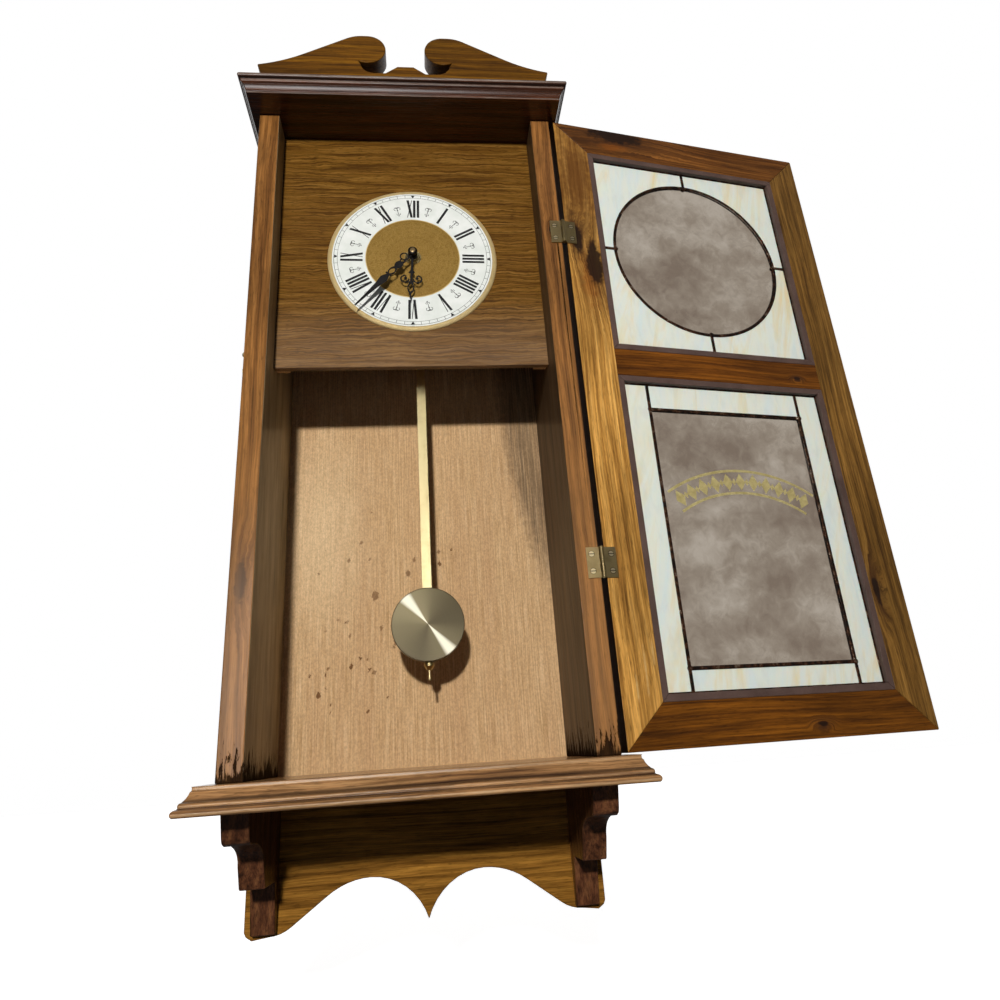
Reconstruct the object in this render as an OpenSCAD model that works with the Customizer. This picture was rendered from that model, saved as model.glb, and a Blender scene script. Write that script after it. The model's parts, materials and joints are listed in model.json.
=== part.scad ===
// Wall regulator clock: an open-fronted pine case on moulded boards, a leaded glass door,
// a round dial with a quartz movement behind it, and a brass pendulum.
// Lengths are in millimetres. Each piece is drawn in the case's own frame: X to the right,
// Y from the front edge of the side boards (0) back to the wall, Z up from the base board's top.
// in_part() then moves it so that the origin is the hanging hole's centre on the rear face.

/* [Case] */
// Width across the two side boards
case_w = 288; // [270:1:310]
// Height of the side boards
case_h = 608; // [590:1:640]
// Depth of the side boards, front to wall
case_d = 132; // [124:1:150]
// Thickness of the side boards
board_t = 19; // [16:0.5:22]
// Thickness of the plywood back panel
back_t = 6; // [4:0.5:9]
// Thickness of the scalloped lower back board
lower_back_t = 19; // [12:0.5:22]
// Radius of the hanging hole in the back panel
hang_hole_r = 5; // [3:0.5:7]
// Distance of the hanging hole below the top of the side boards
hang_drop = 35; // [25:1:50]

/* [Crown and base boards] */
// Thickness of the crown board and of the base board
shelf_t = 18; // [15:0.5:22]
// Overhang of the narrow side of the moulded edge past the case side
lip_over = 7.5; // [5:0.5:12]
// How far the crown's moulding flares out from its narrow side to its wide side
crown_flare = 7.5; // [5:0.5:10]
// How far the base's moulding flares out from its narrow side to its wide side
base_flare = 10; // [6:0.5:12]
// Overhang of the narrow side past the front of the closed door
door_over = 6; // [3:0.5:12]

/* [Pediment] */
// Width of the pediment
pediment_w = 289; // [270:1:300]
// Thickness of the pediment board
pediment_t = 19; // [12:0.5:22]
// How far the pediment stands in front of the case front
pediment_front = 20; // [8:1:24]
// Radius of the scrolls
scroll_r = 18.5; // [16:0.5:20]

/* [Brackets under the base] */
// Thickness of each bracket
bracket_t = 19; // [12:0.5:22]
// Distance of the bracket's outer face in from the case side
bracket_inset = 6.5; // [3:0.5:15]
// Depth of the scalloped lower back board below the base board
lower_back_h = 99; // [90:1:110]

/* [Dial board] */
// Thickness of the oak-faced dial board
dial_board_t = 6; // [4:0.5:9]
// Distance of the dial board's face behind the case front
dial_board_set = 30; // [26:1:40]
// Height of the dial board
dial_board_h = 267; // [250:1:280]
// Side of the square cleats behind the dial board
cleat = 12; // [8:1:14]

/* [Dial] */
// Distance of the dial's centre below the top of the side boards
dial_drop = 148.7; // [140:0.1:160]
// Distance of the dial's centre to the right of the middle of the case
dial_x = 1.9; // [0:0.1:4]
// Width of the dial pan's rim, outside the chapter ring
pan_rim = 4.4; // [3.4:0.1:6]
// Height that the dial pan stands off the board
pan_h = 1.8; // [1.5:0.1:3]
// Sheet thickness of the pan
pan_t = 0.6; // [0.5:0.1:0.8]
// Outer radius of the white chapter ring
face_r = 77.1; // [70:0.1:78]
// Radius of the brass centre disc
centre_r = 45.5; // [40:0.5:52]
// Length of the minute hand from its arbor
minute_hand_l = 80.5; // [76:0.5:81]
// Length of the hour hand from its arbor
hour_hand_l = 51; // [48:0.5:58]
// Clock angle of the minute hand at rest, from twelve
minute_angle = 222.4; // [0:0.1:359]
// Clock angle of the hour hand at rest, from twelve
hour_angle = 184; // [0:0.1:359]

/* [Movement] */
// Width of the movement housing
mv_w = 56; // [54:1:64]
// Height of the movement housing above the arbor
mv_up = 28; // [26:1:34]
// Height of the movement housing below the arbor
mv_down = 46; // [44:1:52]
// Depth of the movement housing
mv_d = 20; // [19:0.5:24]
// Wall thickness of the movement housing
mv_wall = 1.5; // [1.2:0.1:2]
// Gear module of the motion work
gear_m = 0.4; // [0.36:0.01:0.42]

/* [Pendulum] */
// Distance of the pendulum to the right of the dial's centre
pendulum_x = 4.1; // [0:0.1:8]
// Distance of the pendulum rod behind the case front
pendulum_y = 75; // [73:0.5:85]
// Distance of the pendulum's pivot below the dial's centre
pivot_drop = 13.3; // [9:0.1:15]
// Width of the flat pendulum rod
rod_w = 8.2; // [6:0.1:10]
// Thickness of the flat pendulum rod
rod_t = 0.9; // [0.7:0.1:1.4]
// Radius of the bob
bob_r = 31.5; // [26:0.5:36]
// Thickness of the bob
bob_t = 5; // [4:0.5:7]
// Length of the pendulum from its pivot to the bob's centre
pendulum_l = 332; // [300:1:345]

/* [Door] */
// Distance of the door's free edge in from the left side of the case
free_edge_in = 3.2; // [1:0.1:6]
// Thickness of the door frame
door_t = 17; // [15:0.5:20]
// Gap above and below the closed door
door_gap = 1; // [0.5:0.5:2]
// Width of the door's stiles and outer rails
frame_w = 40; // [34:1:46]
// Width of the front lip that the glass rests on
lip_w = 6; // [4:0.5:8]
// Height of the upper window between the rails
upper_window_h = 229.2; // [215:0.1:240]
// Width of the middle rail on the back of the door
mid_rail_w = 27; // [22:0.5:34]
// Rest angle of the door, from closed
door_open = 190; // [0:1:194]

/* [Door glass] */
// Thickness of the glass
glass_t = 3; // [2:0.5:4]
// Thickness of the lead came's flanges
came_flange_t = 0.7; // [0.5:0.1:1]
// Face width of the lead came
came_w = 3.1; // [2.4:0.1:4]
// Thickness of the came's web
came_web = 1; // [0.8:0.1:1.4]
// Radius of the clear round glass inside its came
round_r = 88; // [80:0.5:90]
// Height of the round glass's centre above the middle of its window
round_rise = 1.6; // [-4:0.1:4]
// Distance of the lower clear glass in from the frame's sides
clear_side = 31; // [24:0.5:38]
// Distance of the lower clear glass above the bottom rail
clear_bottom = 26; // [20:0.5:34]
// Distance of the lower clear glass below the middle rail
clear_top = 32; // [24:0.5:40]
// Width of the dark stops that hold the glass in
stop_w = 5.7; // [4:0.1:6]
// Thickness of the dark stops
stop_t = 4.4; // [3:0.1:5]

/* [Hinges and catch] */
// Height of each hinge
hinge_h = 25; // [20:1:32]
// Width of one hinge leaf from the pin's axis
hinge_leaf = 12.5; // [10:0.5:16]
// Thickness of the hinge leaves
hinge_t = 1.1; // [0.8:0.1:1.3]
// Radius of the hinge knuckle
knuckle_r = 2; // [1.8:0.05:2.05]
// Radius of the hinge pin
hinge_pin_r = 1; // [0.8:0.05:1.2]
// Height of the lower hinge's centre above the base board
hinge_low_z = 144; // [100:1:200]
// Distance of the upper hinge's centre below the top of the side boards
hinge_high_drop = 140; // [100:1:200]
// Distance between the catch hook's pivot and the peg that it holds
catch_l = 17; // [15:0.5:22]
// Height of the catch above the base board
catch_z = 342; // [320:1:360]

/* [Hidden] */
$fn = 64;

// Clearance of a shaft in its hole, and of a screw in its pilot hole
fit = 0.06;
// Clearance of what is pushed or glued on
press = 0.02;
// Length that a cut runs past the face it starts from
over = 1;

// The case
half_w = case_w / 2;
inner_w = half_w - board_t;
back_y = case_d - back_t;
back_rebate = board_t / 2;
hang_z = case_h - hang_drop;
dial_z = case_h - dial_drop;
shelf_half = half_w + lip_over;
crown_top = case_h + shelf_t;
lower_back_y = case_d - lower_back_t;
lower_back_foot = -shelf_t - lower_back_h;

// Hinge pin: it stands just outside the case, level with the gap between the leaves
leaf_gap = 0.6;
pin_out = 2.1;
door_inset = 0.8;
hinge_x = half_w + pin_out;
hinge_y = -hinge_t - leaf_gap / 2;
door_off_x = pin_out + door_inset;
door_off_y = hinge_t + leaf_gap / 2;
door_front_y = hinge_y - door_off_y - door_t;
shelf_front = -door_front_y + door_over;

// The door, measured from its hinge edge (u), back face (n) and the base board (z)
door_lo = door_gap;
door_hi = case_h - door_gap;
back_w = frame_w - lip_w;
door_w = case_w - door_inset - free_edge_in;
win_l = back_w;
win_r = door_w - back_w;
win_mid = (win_l + win_r) / 2;
low_lo = door_lo + back_w;
up_hi = door_hi - back_w;
up_lo = up_hi - upper_window_h;
low_hi = up_lo - mid_rail_w;
round_z = (up_lo + up_hi) / 2 + round_rise;
panel_t = glass_t + 2 * came_flange_t;
rebate_d = stop_t + panel_t;
glass_n = stop_t + came_flange_t;
panel_play = 0.4;
glass_play = 0.05;
border_w = stop_w + 1.2;
web_edge = panel_play + came_web;
came_r = round_r + came_w / 2;
clear_l = win_l + clear_side;
clear_r = win_r - clear_side;
clear_lo = low_lo + clear_bottom;
clear_hi = low_hi - clear_top;
bar_xs = [clear_l - came_w / 2, clear_r + came_w / 2];
bar_zs = [clear_lo - came_w / 2, clear_hi + came_w / 2];

// The dial and the movement, front to back
dial_y = dial_board_set;
board_back = dial_y + dial_board_t;
washer_t = 1;
mv_front = board_back + washer_t;
mv_back = mv_front + mv_d;
mv_split = mv_front + mv_d * 0.55;
mv_lo = dial_z - mv_down;
bay_h = 18;
bay_lo = mv_lo + mv_wall;
mv_hi = dial_z + mv_up;
pan_face = dial_y - pan_h;
pan_r = face_r + pan_rim;
ring_t = 0.3;
disc_t = 0.4;
bush_r = 4;
bush_front = pan_face - 3.6;
fix_washer_t = 0.6;
fix_nut_t = 2.2;
arbor_r = 1.4;
tube_r = 2.5;
pivot_r = 0.7;
wheel_arbor_r = 1.3;
hand_t = 0.5;
hour_y = bush_front - 2.4;
minute_y = hour_y - 3;
nut_r = 4.4;
nut_l = 3.2;
nut_dome = 1.3;

// Motion work: two gear pairs on one centre distance give one turn in twelve
cannon_n = 15;
minute_n = 45;
pinion_n = 12;
hour_n = 48;
gear_c = gear_m * (cannon_n + minute_n) / 2;
pressure = 25;
addendum = 0.8;
dedendum = 1.1;
backlash = 0.08;
wheel_t = 1.8;
hour_gear_y = mv_front + mv_wall + 1;
minute_gear_y = mv_back - mv_wall - 8;

// The pendulum
pivot_z = dial_z - pivot_drop;
bob_z = pivot_z - pendulum_l;
lever_y = mv_back + 10.5;
drive_d = 9;
lever_t = 1.2;
lever_l = 38;
stud_r = 1.2;
rod_top = pivot_z - lever_l + 4;
stud_end = bob_z - bob_r - 15;
thread_r = 1.1;
bob_wall = 0.8;
bob_front = pendulum_y - 3;
nut_top = bob_z - bob_r - 0.1;

// The catch on the left side board
catch_t = 0.9;
catch_stand = 0.3;
catch_screw_r = 1.2;
catch_screw_tip = 11 - half_w;
peg_r = 1.2;
peg_n = 6.5;
peg_in = 8;
peg_end = 0.6;
peg_out = free_edge_in + catch_stand + catch_t + peg_end;
catch_y = catch_l + hinge_y - door_off_y - peg_n;

module in_part() translate([0, -case_d, -hang_z]) children();
// The dial, the movement and the pendulum stand a little to the right of the middle
module in_dial() in_part() translate([dial_x, 0, 0]) children();
module block(x0, x1, y0, y1, z0, z1) translate([x0, y0, z0]) cube([x1 - x0, y1 - y0, z1 - z0]);
// An outline in X and Z, as thick as y0 to y1
module plate_xz(y0, y1) translate([0, y1, 0]) rotate([90, 0, 0]) linear_extrude(y1 - y0) children();
// An outline in Y and Z, as wide as x0 to x1
module plate_yz(x0, x1) translate([x0, 0, 0]) rotate([90, 0, 90]) linear_extrude(x1 - x0) children();
module rod_y(r, y0, y1, x = 0, z = 0) translate([x, y1, z]) rotate([90, 0, 0]) cylinder(r = r, h = y1 - y0);
module rod_x(r, x0, x1, y = 0, z = 0) translate([x0, y, z]) rotate([0, 90, 0]) cylinder(r = r, h = x1 - x0);
// A turned piece about a Y axis: its profile is radius and height, the height running to the front
module turned_y(y, x = 0, z = 0) translate([x, y, z]) rotate([90, 0, 0]) rotate_extrude() children();
function arc(cx, cy, r, a0, a1, n) =
  [for (i = [0:n]) let (a = a0 + (a1 - a0) * i / n) [cx + r * cos(a), cy + r * sin(a)]];
function mirrored(pts) = [for (i = [len(pts) - 1:-1:0]) [-pts[i][0], pts[i][1]]];

// Side boards, rebated at the back for the plywood panel
module side_board(side, screws_z) {
  x0 = side < 0 ? -half_w : inner_w;
  rebate_x = side < 0 ? -half_w + back_rebate : inner_w - over;
  difference() {
    block(x0, x0 + board_t, 0, case_d, 0, case_h);
    block(rebate_x, rebate_x + back_rebate + over, back_y, case_d + over, -over, case_h + over);
    for (y = case_screw_y) {
      wood_screw_hole(side * (half_w - board_t / 2), y, crown_top, -1);
      wood_screw_hole(side * (half_w - board_t / 2), y, -shelf_t, 1);
    }
    if (side > 0) hinge_screw_holes_case();
    if (side < 0) rod_x(catch_screw_r + fit, -half_w - over, catch_screw_tip + fit, catch_y, catch_z);
  }
}
module side_board_left() color("peru") in_part() side_board(-1);
module side_board_right() color("peru") in_part() side_board(1);

// Countersunk wood screws that tie the crown and the base to the side boards
case_screw_y = [30, case_d - 32];
screw_r = 2;
screw_head_r = 4;
screw_l = 42;
module wood_screw(x, y, z, dir, play = 0) translate([x, y, z]) rotate([dir < 0 ? 180 : 0, 0, 0]) {
  cylinder(r1 = screw_head_r + play, r2 = screw_r + play, h = screw_head_r - screw_r);
  cylinder(r = screw_r + play, h = screw_l + play);
}
module wood_screw_hole(x, y, z, dir) wood_screw(x, y, z, dir, fit);
module case_screws() color("goldenrod") in_part()
  for (x = [-half_w + board_t / 2, half_w - board_t / 2], y = case_screw_y) {
    wood_screw(x, y, crown_top, -1);
    wood_screw(x, y, -shelf_t, 1);
  }

// Moulded edge as [out, along] from its narrow side: a lip, a step, a long sloping cove, a rounded
// band between two grooves, and a rounded foot. It is drawn 10 out and 18 thick, and scaled to size.
edge_drawn = [10, 18];
edge_points = concat([[0.6, 0], [0, 0.6], [0, 3], [0.9, 3.3]], arc(11.4, 0.55, 10.8, 164, 134, 5),
  [[4, 9]], arc(4.5, 11.2, 2, -70, 45, 5), [[7.2, 13]], arc(7.4, 15.8, 2.6, -60, 55, 6), [[8.8, 18]]);
module moulded_board(flare) {
  edge = [for (p = edge_points) [p[0] * flare / edge_drawn[0], p[1] * shelf_t / edge_drawn[1]]];
  right = [for (p = edge) [shelf_half + p[0], -p[1]]];
  front = [for (p = edge) [-shelf_front - p[0], -p[1]]];
  intersection() {
    plate_yz(-shelf_half - 2 * flare, shelf_half + 2 * flare)
      polygon(concat([[case_d, 0]], front, [[case_d, -shelf_t]]));
    plate_xz(-shelf_front - 2 * flare, case_d)
      polygon(concat(right, mirrored(right)));
  }
}
module base_board() color("sienna") in_part() difference() {
  moulded_board(base_flare);
  for (x = [-half_w + board_t / 2, half_w - board_t / 2], y = case_screw_y)
    wood_screw_hole(x, y, -shelf_t, 1);
}
module crown_board() color("sienna") in_part() difference() {
  translate([0, 0, case_h]) mirror([0, 0, 1]) moulded_board(crown_flare);
  for (x = [-half_w + board_t / 2, half_w - board_t / 2], y = case_screw_y)
    wood_screw_hole(x, y, crown_top, -1);
}

// Plywood back panel with the hanging hole
module back_panel() color("burlywood") in_part() difference() {
  panel_half = half_w - back_rebate - 0.2;
  block(-panel_half, panel_half, back_y, case_d, 0, case_h);
  rod_y(hang_hole_r, back_y - over, case_d + over, 0, hang_z);
}

// Scalloped lower back board: a point in the middle between two arches
scallop_x = 46;
scallop_h = 62;
scallop_slope = 35;
cusp_rise = 4;
arch_r = 60;
foot_r = 30;
foot_dip = 1.6;
corner = 3;
module lower_back_board() color("saddlebrown") in_part() {
  foot = lower_back_foot;
  apex = -shelf_t - scallop_h;
  cusp = foot + cusp_rise;
  r_in = (pow(scallop_x, 2) + pow(apex - cusp, 2)) / (2 * (apex - cusp));
  slope = scallop_slope;
  x1 = scallop_x + arch_r * sin(slope);
  z1 = apex - arch_r * (1 - cos(slope));
  drop = z1 - foot - foot_dip - foot_r * (1 - cos(slope));
  x2 = x1 + drop / tan(slope);
  in_end = asin(scallop_x / r_in);
  half = concat(
    arc(scallop_x, apex - r_in, r_in, 90 + in_end, 90, 8),
    arc(scallop_x, apex - arch_r, arch_r, 90, 90 - slope, 6),
    arc(x2 + foot_r * sin(slope), foot + foot_dip + foot_r, foot_r, 270 - slope, 270, 4),
    [[half_w - 2 * corner, foot], [half_w - corner / 2, foot + corner]],
    [[half_w, foot + 2 * corner], [half_w, -shelf_t]]);
  plate_xz(lower_back_y, case_d) polygon(concat(mirrored(half), half));
}

// Brackets under the base: an upright nose, a cove back to a square block, and a thin tail
bracket_front = -6;
nose_h = 20;
block_y = 52;
block_h = 56.5;
tail_y = 97;
tail_h = 94.5;
rake = 8;
module bracket(side) {
  x0 = side < 0 ? -half_w + bracket_inset : half_w - bracket_inset - bracket_t;
  z0 = -shelf_t;
  cove_w = block_y - bracket_front - rake - 5;
  cove_h = block_h - nose_h - 18;
  cove = [for (a = [0:10:90])
    [block_y - cove_w * (1 - sin(a)), z0 - nose_h - 2 - cove_h * (1 - cos(a))]];
  plate_yz(x0, x0 + bracket_t) polygon(concat(
    [[lower_back_y, z0], [bracket_front, z0], [bracket_front + rake - 2, z0 - nose_h + 3],
     [bracket_front + rake, z0 - nose_h]], cove,
    [[block_y + rake, z0 - block_h], [tail_y, z0 - block_h - 1],
     [tail_y + rake, z0 - tail_h], [lower_back_y, z0 - tail_h]]));
}
module bracket_left() color("saddlebrown") in_part() bracket(-1);
module bracket_right() color("saddlebrown") in_part() bracket(1);

// Swan-neck pediment: two mirrored scrolls and a low hump between them
scroll_x = 38;
scroll_rise = 51;
throat_x = 31.5;
throat_r = 13;
swell_r = 32;
swell_shift = 5;
swell_slope = 29;
end_r = 150;
end_sweep = 18;
end_undercut = 8;
hump_h = 28;
hump_half = 8;
valley_h = 19;
module pediment() color("peru") in_part() {
  z0 = crown_top;
  sz = z0 + scroll_rise;
  top = sz + scroll_r;
  swell_x = scroll_x + swell_shift;
  half_p = pediment_w / 2;
  valley_x = scroll_x - scroll_r + 0.5;
  x1 = swell_x + swell_r * sin(swell_slope);
  z1 = top - swell_r * (1 - cos(swell_slope));
  x2 = half_p - end_r * (sin(swell_slope) - sin(swell_slope - end_sweep));
  z2 = z1 - (x2 - x1) * tan(swell_slope);
  half = concat(
    [[0, z0 + hump_h], [hump_half, z0 + hump_h], [valley_x, z0 + valley_h]],
    arc(throat_x, z0 + valley_h + throat_r, throat_r, 270, 352, 6),
    arc(scroll_x, sz, scroll_r, -62, -270, 24),
    arc(swell_x, top - swell_r, swell_r, 90, 90 - swell_slope, 5),
    arc(x2 + end_r * sin(swell_slope), z2 + end_r * cos(swell_slope), end_r,
      270 - swell_slope, 270 - swell_slope + end_sweep, 6),
    [[half_p - end_undercut, z0]]);
  plate_xz(-pediment_front, pediment_t - pediment_front) polygon(concat(mirrored(half), half));
}

// Dial board and the cleats that it is pinned to
module dial_board() color("chocolate") in_part() difference() {
  block(-inner_w, inner_w, dial_y, board_back, case_h - dial_board_h, case_h);
  rod_y(bush_r + 1, dial_y - over, board_back + over, dial_x, dial_z);
}
module dial_cleats() color("burlywood") in_part()
  for (x = [-inner_w, inner_w - cleat])
    block(x, x + cleat, board_back, board_back + cleat, case_h - dial_board_h + 5, case_h - 3);

// Hinges: five knuckles, three on the case leaf and two on the door leaf
knuckles = 5;
knuckle_gap = 0.1;
hinge_zs = [hinge_low_z, case_h - hinge_high_drop];
hinge_screw_r = 1.1;
hinge_head_r = 2.2;
hinge_screw_l = 12;
hinge_screw_x = hinge_leaf - 4.2;
hinge_screw_zs = [for (z = hinge_zs, s = [-1, 1]) z + s * hinge_h * 0.28];
// One leaf, from the pin's axis along +X, with its plate against the plane n = door_off_y
module hinge_leaf_at(z, first) {
  pitch = hinge_h / knuckles;
  difference() {
    union() {
      block(0, hinge_leaf, door_off_y - hinge_t, door_off_y, z - hinge_h / 2, z + hinge_h / 2);
      for (k = [first:2:knuckles - 1])
        translate([0, 0, z - hinge_h / 2 + k * pitch + knuckle_gap])
          cylinder(r = knuckle_r, h = pitch - 2 * knuckle_gap);
    }
    for (k = [1 - first:2:knuckles - 1])
      translate([0, 0, z - hinge_h / 2 + k * pitch - knuckle_gap])
        cylinder(r = knuckle_r + 0.3, h = pitch + 2 * knuckle_gap);
    translate([0, 0, z - hinge_h / 2 - over]) cylinder(r = hinge_pin_r + fit, h = hinge_h + 2 * over);
    for (s = [-1, 1]) hinge_screw(z + s * hinge_h * 0.28, fit);
  }
}
// A small countersunk screw, its head flush with the leaf's open face
module hinge_screw(z, play = 0) translate([hinge_screw_x, door_off_y - hinge_t, z]) rotate([-90, 0, 0]) {
  cylinder(r1 = hinge_head_r + play, r2 = hinge_screw_r + play, h = hinge_t);
  cylinder(r = hinge_screw_r + play, h = hinge_screw_l + play);
}
module hinge_screws() difference() {
  for (z = hinge_screw_zs) hinge_screw(z);
  for (z = hinge_screw_zs)
    block(hinge_screw_x - 3, hinge_screw_x + 3, 0, door_off_y - hinge_t + 0.35, z - 0.25, z + 0.25);
}
// The case's leaves lie to the left of the pin, against the front edge of the side board
module at_case_leaf() translate([hinge_x, hinge_y, 0]) mirror([1, 0, 0]) children();
module hinge_screw_holes_case() at_case_leaf() for (z = hinge_screw_zs) hinge_screw(z, fit);
module hinge_case_leaves() color("darkgoldenrod") in_part() at_case_leaf()
  for (z = hinge_zs) hinge_leaf_at(z, 0);
module hinge_case_screws() color("goldenrod") in_part() at_case_leaf() hinge_screws();
module hinge_pins() color("darkgoldenrod") in_part()
  for (z = hinge_zs) translate([hinge_x, hinge_y, z - hinge_h / 2 - 0.5]) {
    cylinder(r = hinge_pin_r, h = hinge_h + 1);
    cylinder(r = hinge_pin_r + 0.5, h = 0.4);
    translate([0, 0, hinge_h + 0.6]) cylinder(r = hinge_pin_r + 0.5, h = 0.4);
  }

// The door: u runs from the hinge edge, n from the back face to the front, both at rest
module at_door_leaf() translate([hinge_x, hinge_y, 0]) rotate([0, 0, door_open - 180]) children();
module at_door() in_part() at_door_leaf() translate([door_off_x, door_off_y, 0]) children();
module hinge_door_leaves() color("darkgoldenrod") in_part() at_door_leaf()
  for (z = hinge_zs) hinge_leaf_at(z, 1);
module hinge_door_screws() color("goldenrod") in_part() at_door_leaf() hinge_screws();
module hinge_screw_holes_door() translate([-door_off_x, -door_off_y, 0])
  for (z = hinge_screw_zs) hinge_screw(z, fit);

// Frame members, mitred at the corners and rebated behind for the leaded panels
module frame_member(outline) difference() {
  plate_xz(0, door_t) polygon(outline);
  block(win_l, win_r, -over, rebate_d, low_lo, up_hi);
}
module door_stile_hinge() color("peru") at_door() difference() {
  frame_member([[0, door_lo], [frame_w, door_lo + frame_w], [frame_w, door_hi - frame_w], [0, door_hi]]);
  hinge_screw_holes_door();
}
module door_stile_free() color("peru") at_door() difference() {
  frame_member([[door_w, door_lo], [door_w - frame_w, door_lo + frame_w],
    [door_w - frame_w, door_hi - frame_w], [door_w, door_hi]]);
  rod_x(peg_r + fit, door_w - peg_in - fit, door_w + over, peg_n, catch_z);
}
module door_top_rail() color("sienna") at_door()
  frame_member([[0, door_hi], [frame_w, door_hi - frame_w],
    [door_w - frame_w, door_hi - frame_w], [door_w, door_hi]]);
module door_bottom_rail() color("sienna") at_door()
  frame_member([[0, door_lo], [frame_w, door_lo + frame_w],
    [door_w - frame_w, door_lo + frame_w], [door_w, door_lo]]);
module door_mid_rail() color("sienna") at_door() {
  block(win_l, win_r, 0, rebate_d, low_hi, up_lo);
  block(frame_w, door_w - frame_w, rebate_d, door_t, low_hi - lip_w, up_lo + lip_w);
}

// Leaded panels. The came is an H in section: a web between two panes and a flange on each face
module came_layers() {
  plate_xz(stop_t, stop_t + came_flange_t) children(0);
  plate_xz(stop_t + came_flange_t, rebate_d - came_flange_t) children(1);
  plate_xz(rebate_d - came_flange_t, rebate_d) children(0);
}
module span(x0, x1, z0, z1) translate([x0, z0]) square([x1 - x0, z1 - z0]);
module border(z0, z1, w) difference() {
  span(win_l + panel_play, win_r - panel_play, z0 + panel_play, z1 - panel_play);
  span(win_l + w, win_r - w, z0 + w, z1 - w);
}
// The bars of the upper panel, at twelve, three, six and nine
module cross_bars(w, edge) {
  span(win_mid - w / 2, win_mid + w / 2, up_lo + edge, up_hi - edge);
  span(win_l + edge, win_r - edge, round_z - w / 2, round_z + w / 2);
}
module round_disc(r) translate([win_mid, round_z]) circle(r = r, $fn = 120);
module upper_lead(w, edge_w) {
  border(up_lo, up_hi, edge_w);
  difference() {
    union() {
      round_disc(came_r + w / 2);
      cross_bars(w, panel_play);
    }
    round_disc(came_r - w / 2);
  }
}
module upper_came() color("dimgray") at_door() came_layers() {
  upper_lead(came_w, border_w);
  upper_lead(came_web, web_edge);
}
module upper_opal_glass() color("ivory") at_door() plate_xz(glass_n, glass_n + glass_t) difference() {
  edge = web_edge + glass_play;
  span(win_l + edge, win_r - edge, up_lo + edge, up_hi - edge);
  round_disc(came_r + came_web / 2 + glass_play);
  cross_bars(came_web + 2 * glass_play, 0);
}
module upper_round_glass() color("lightcyan", 0.5) at_door() plate_xz(glass_n, glass_n + glass_t)
  round_disc(came_r - came_web / 2 - glass_play);
// The lower panel's two full-height bars, and its bars above and below the clear glass
module lower_bars(w, edge) {
  for (x = bar_xs) span(x - w / 2, x + w / 2, low_lo + edge, low_hi - edge);
  for (z = bar_zs) span(bar_xs[0], bar_xs[1], z - w / 2, z + w / 2);
}
module lower_lead(w, edge_w) {
  border(low_lo, low_hi, edge_w);
  lower_bars(w, panel_play);
}
module lower_came() color("dimgray") at_door() came_layers() {
  lower_lead(came_w, border_w);
  lower_lead(came_web, web_edge);
}
module lower_opal_glass() color("ivory") at_door() plate_xz(glass_n, glass_n + glass_t) difference() {
  edge = web_edge + glass_play;
  bar = came_web / 2 + glass_play;
  span(win_l + edge, win_r - edge, low_lo + edge, low_hi - edge);
  lower_bars(2 * bar, 0);
  span(bar_xs[0], bar_xs[1], bar_zs[0] - bar, bar_zs[1] + bar);
}
module lower_clear_glass() color("lightcyan", 0.5) at_door() plate_xz(glass_n, glass_n + glass_t) {
  grow = came_w / 2 - came_web / 2 - glass_play;
  span(clear_l - grow, clear_r + grow, clear_lo - grow, clear_hi + grow);
}

// Dark stops that hold each panel in its rebate: four mitred sticks, a hair apart at the corners
mitre_gap = 0.1;
module stops(z0, z1) {
  g = mitre_gap;
  w = stop_w;
  plate_xz(0, stop_t) {
    for (z = [[z0, z0 + w], [z1, z1 - w]])
      polygon([[win_l + g, z[0]], [win_r - g, z[0]], [win_r - w - g, z[1]], [win_l + w + g, z[1]]]);
    for (x = [[win_l, win_l + w], [win_r, win_r - w]])
      polygon([[x[0], z0 + g], [x[1], z0 + w + g], [x[1], z1 - w - g], [x[0], z1 - g]]);
  }
}
module upper_glass_stops() color("dimgray") at_door() stops(up_lo, up_hi);
module lower_glass_stops() color("dimgray") at_door() stops(low_lo, low_hi);

// The catch: a hook that hangs on the left side board, and its peg in the door's free edge
module catch_peg() color("goldenrod") at_door()
  rod_x(peg_r, door_w - peg_in, door_w + peg_out, peg_n, catch_z);
module catch_screw() color("goldenrod") in_part() {
  rod_x(catch_screw_r, -half_w - catch_stand - catch_t - 0.2, catch_screw_tip, catch_y, catch_z);
  rod_x(catch_screw_r + 0.8, -half_w - catch_stand, -half_w, catch_y, catch_z);
  translate([-half_w - catch_stand - catch_t - 0.1, catch_y, catch_z]) rotate([0, -90, 0])
    cylinder(r1 = 2.6, r2 = 1.4, h = 1.3);
}
module catch_hook() color("goldenrod") in_part() {
  x0 = -half_w - catch_stand - catch_t;
  plate_yz(x0, x0 + catch_t) translate([catch_y, catch_z]) difference() {
    union() {
      circle(r = 3);
      translate([-1.5, -catch_l]) square([3, catch_l]);
      translate([0, -catch_l]) circle(r = 3.3);
    }
    circle(r = catch_screw_r + fit);
    translate([0, -catch_l]) circle(r = peg_r + fit);
    translate([0, -catch_l - peg_r - fit]) square([5, 2 * (peg_r + fit)]);
  }
}

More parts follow.
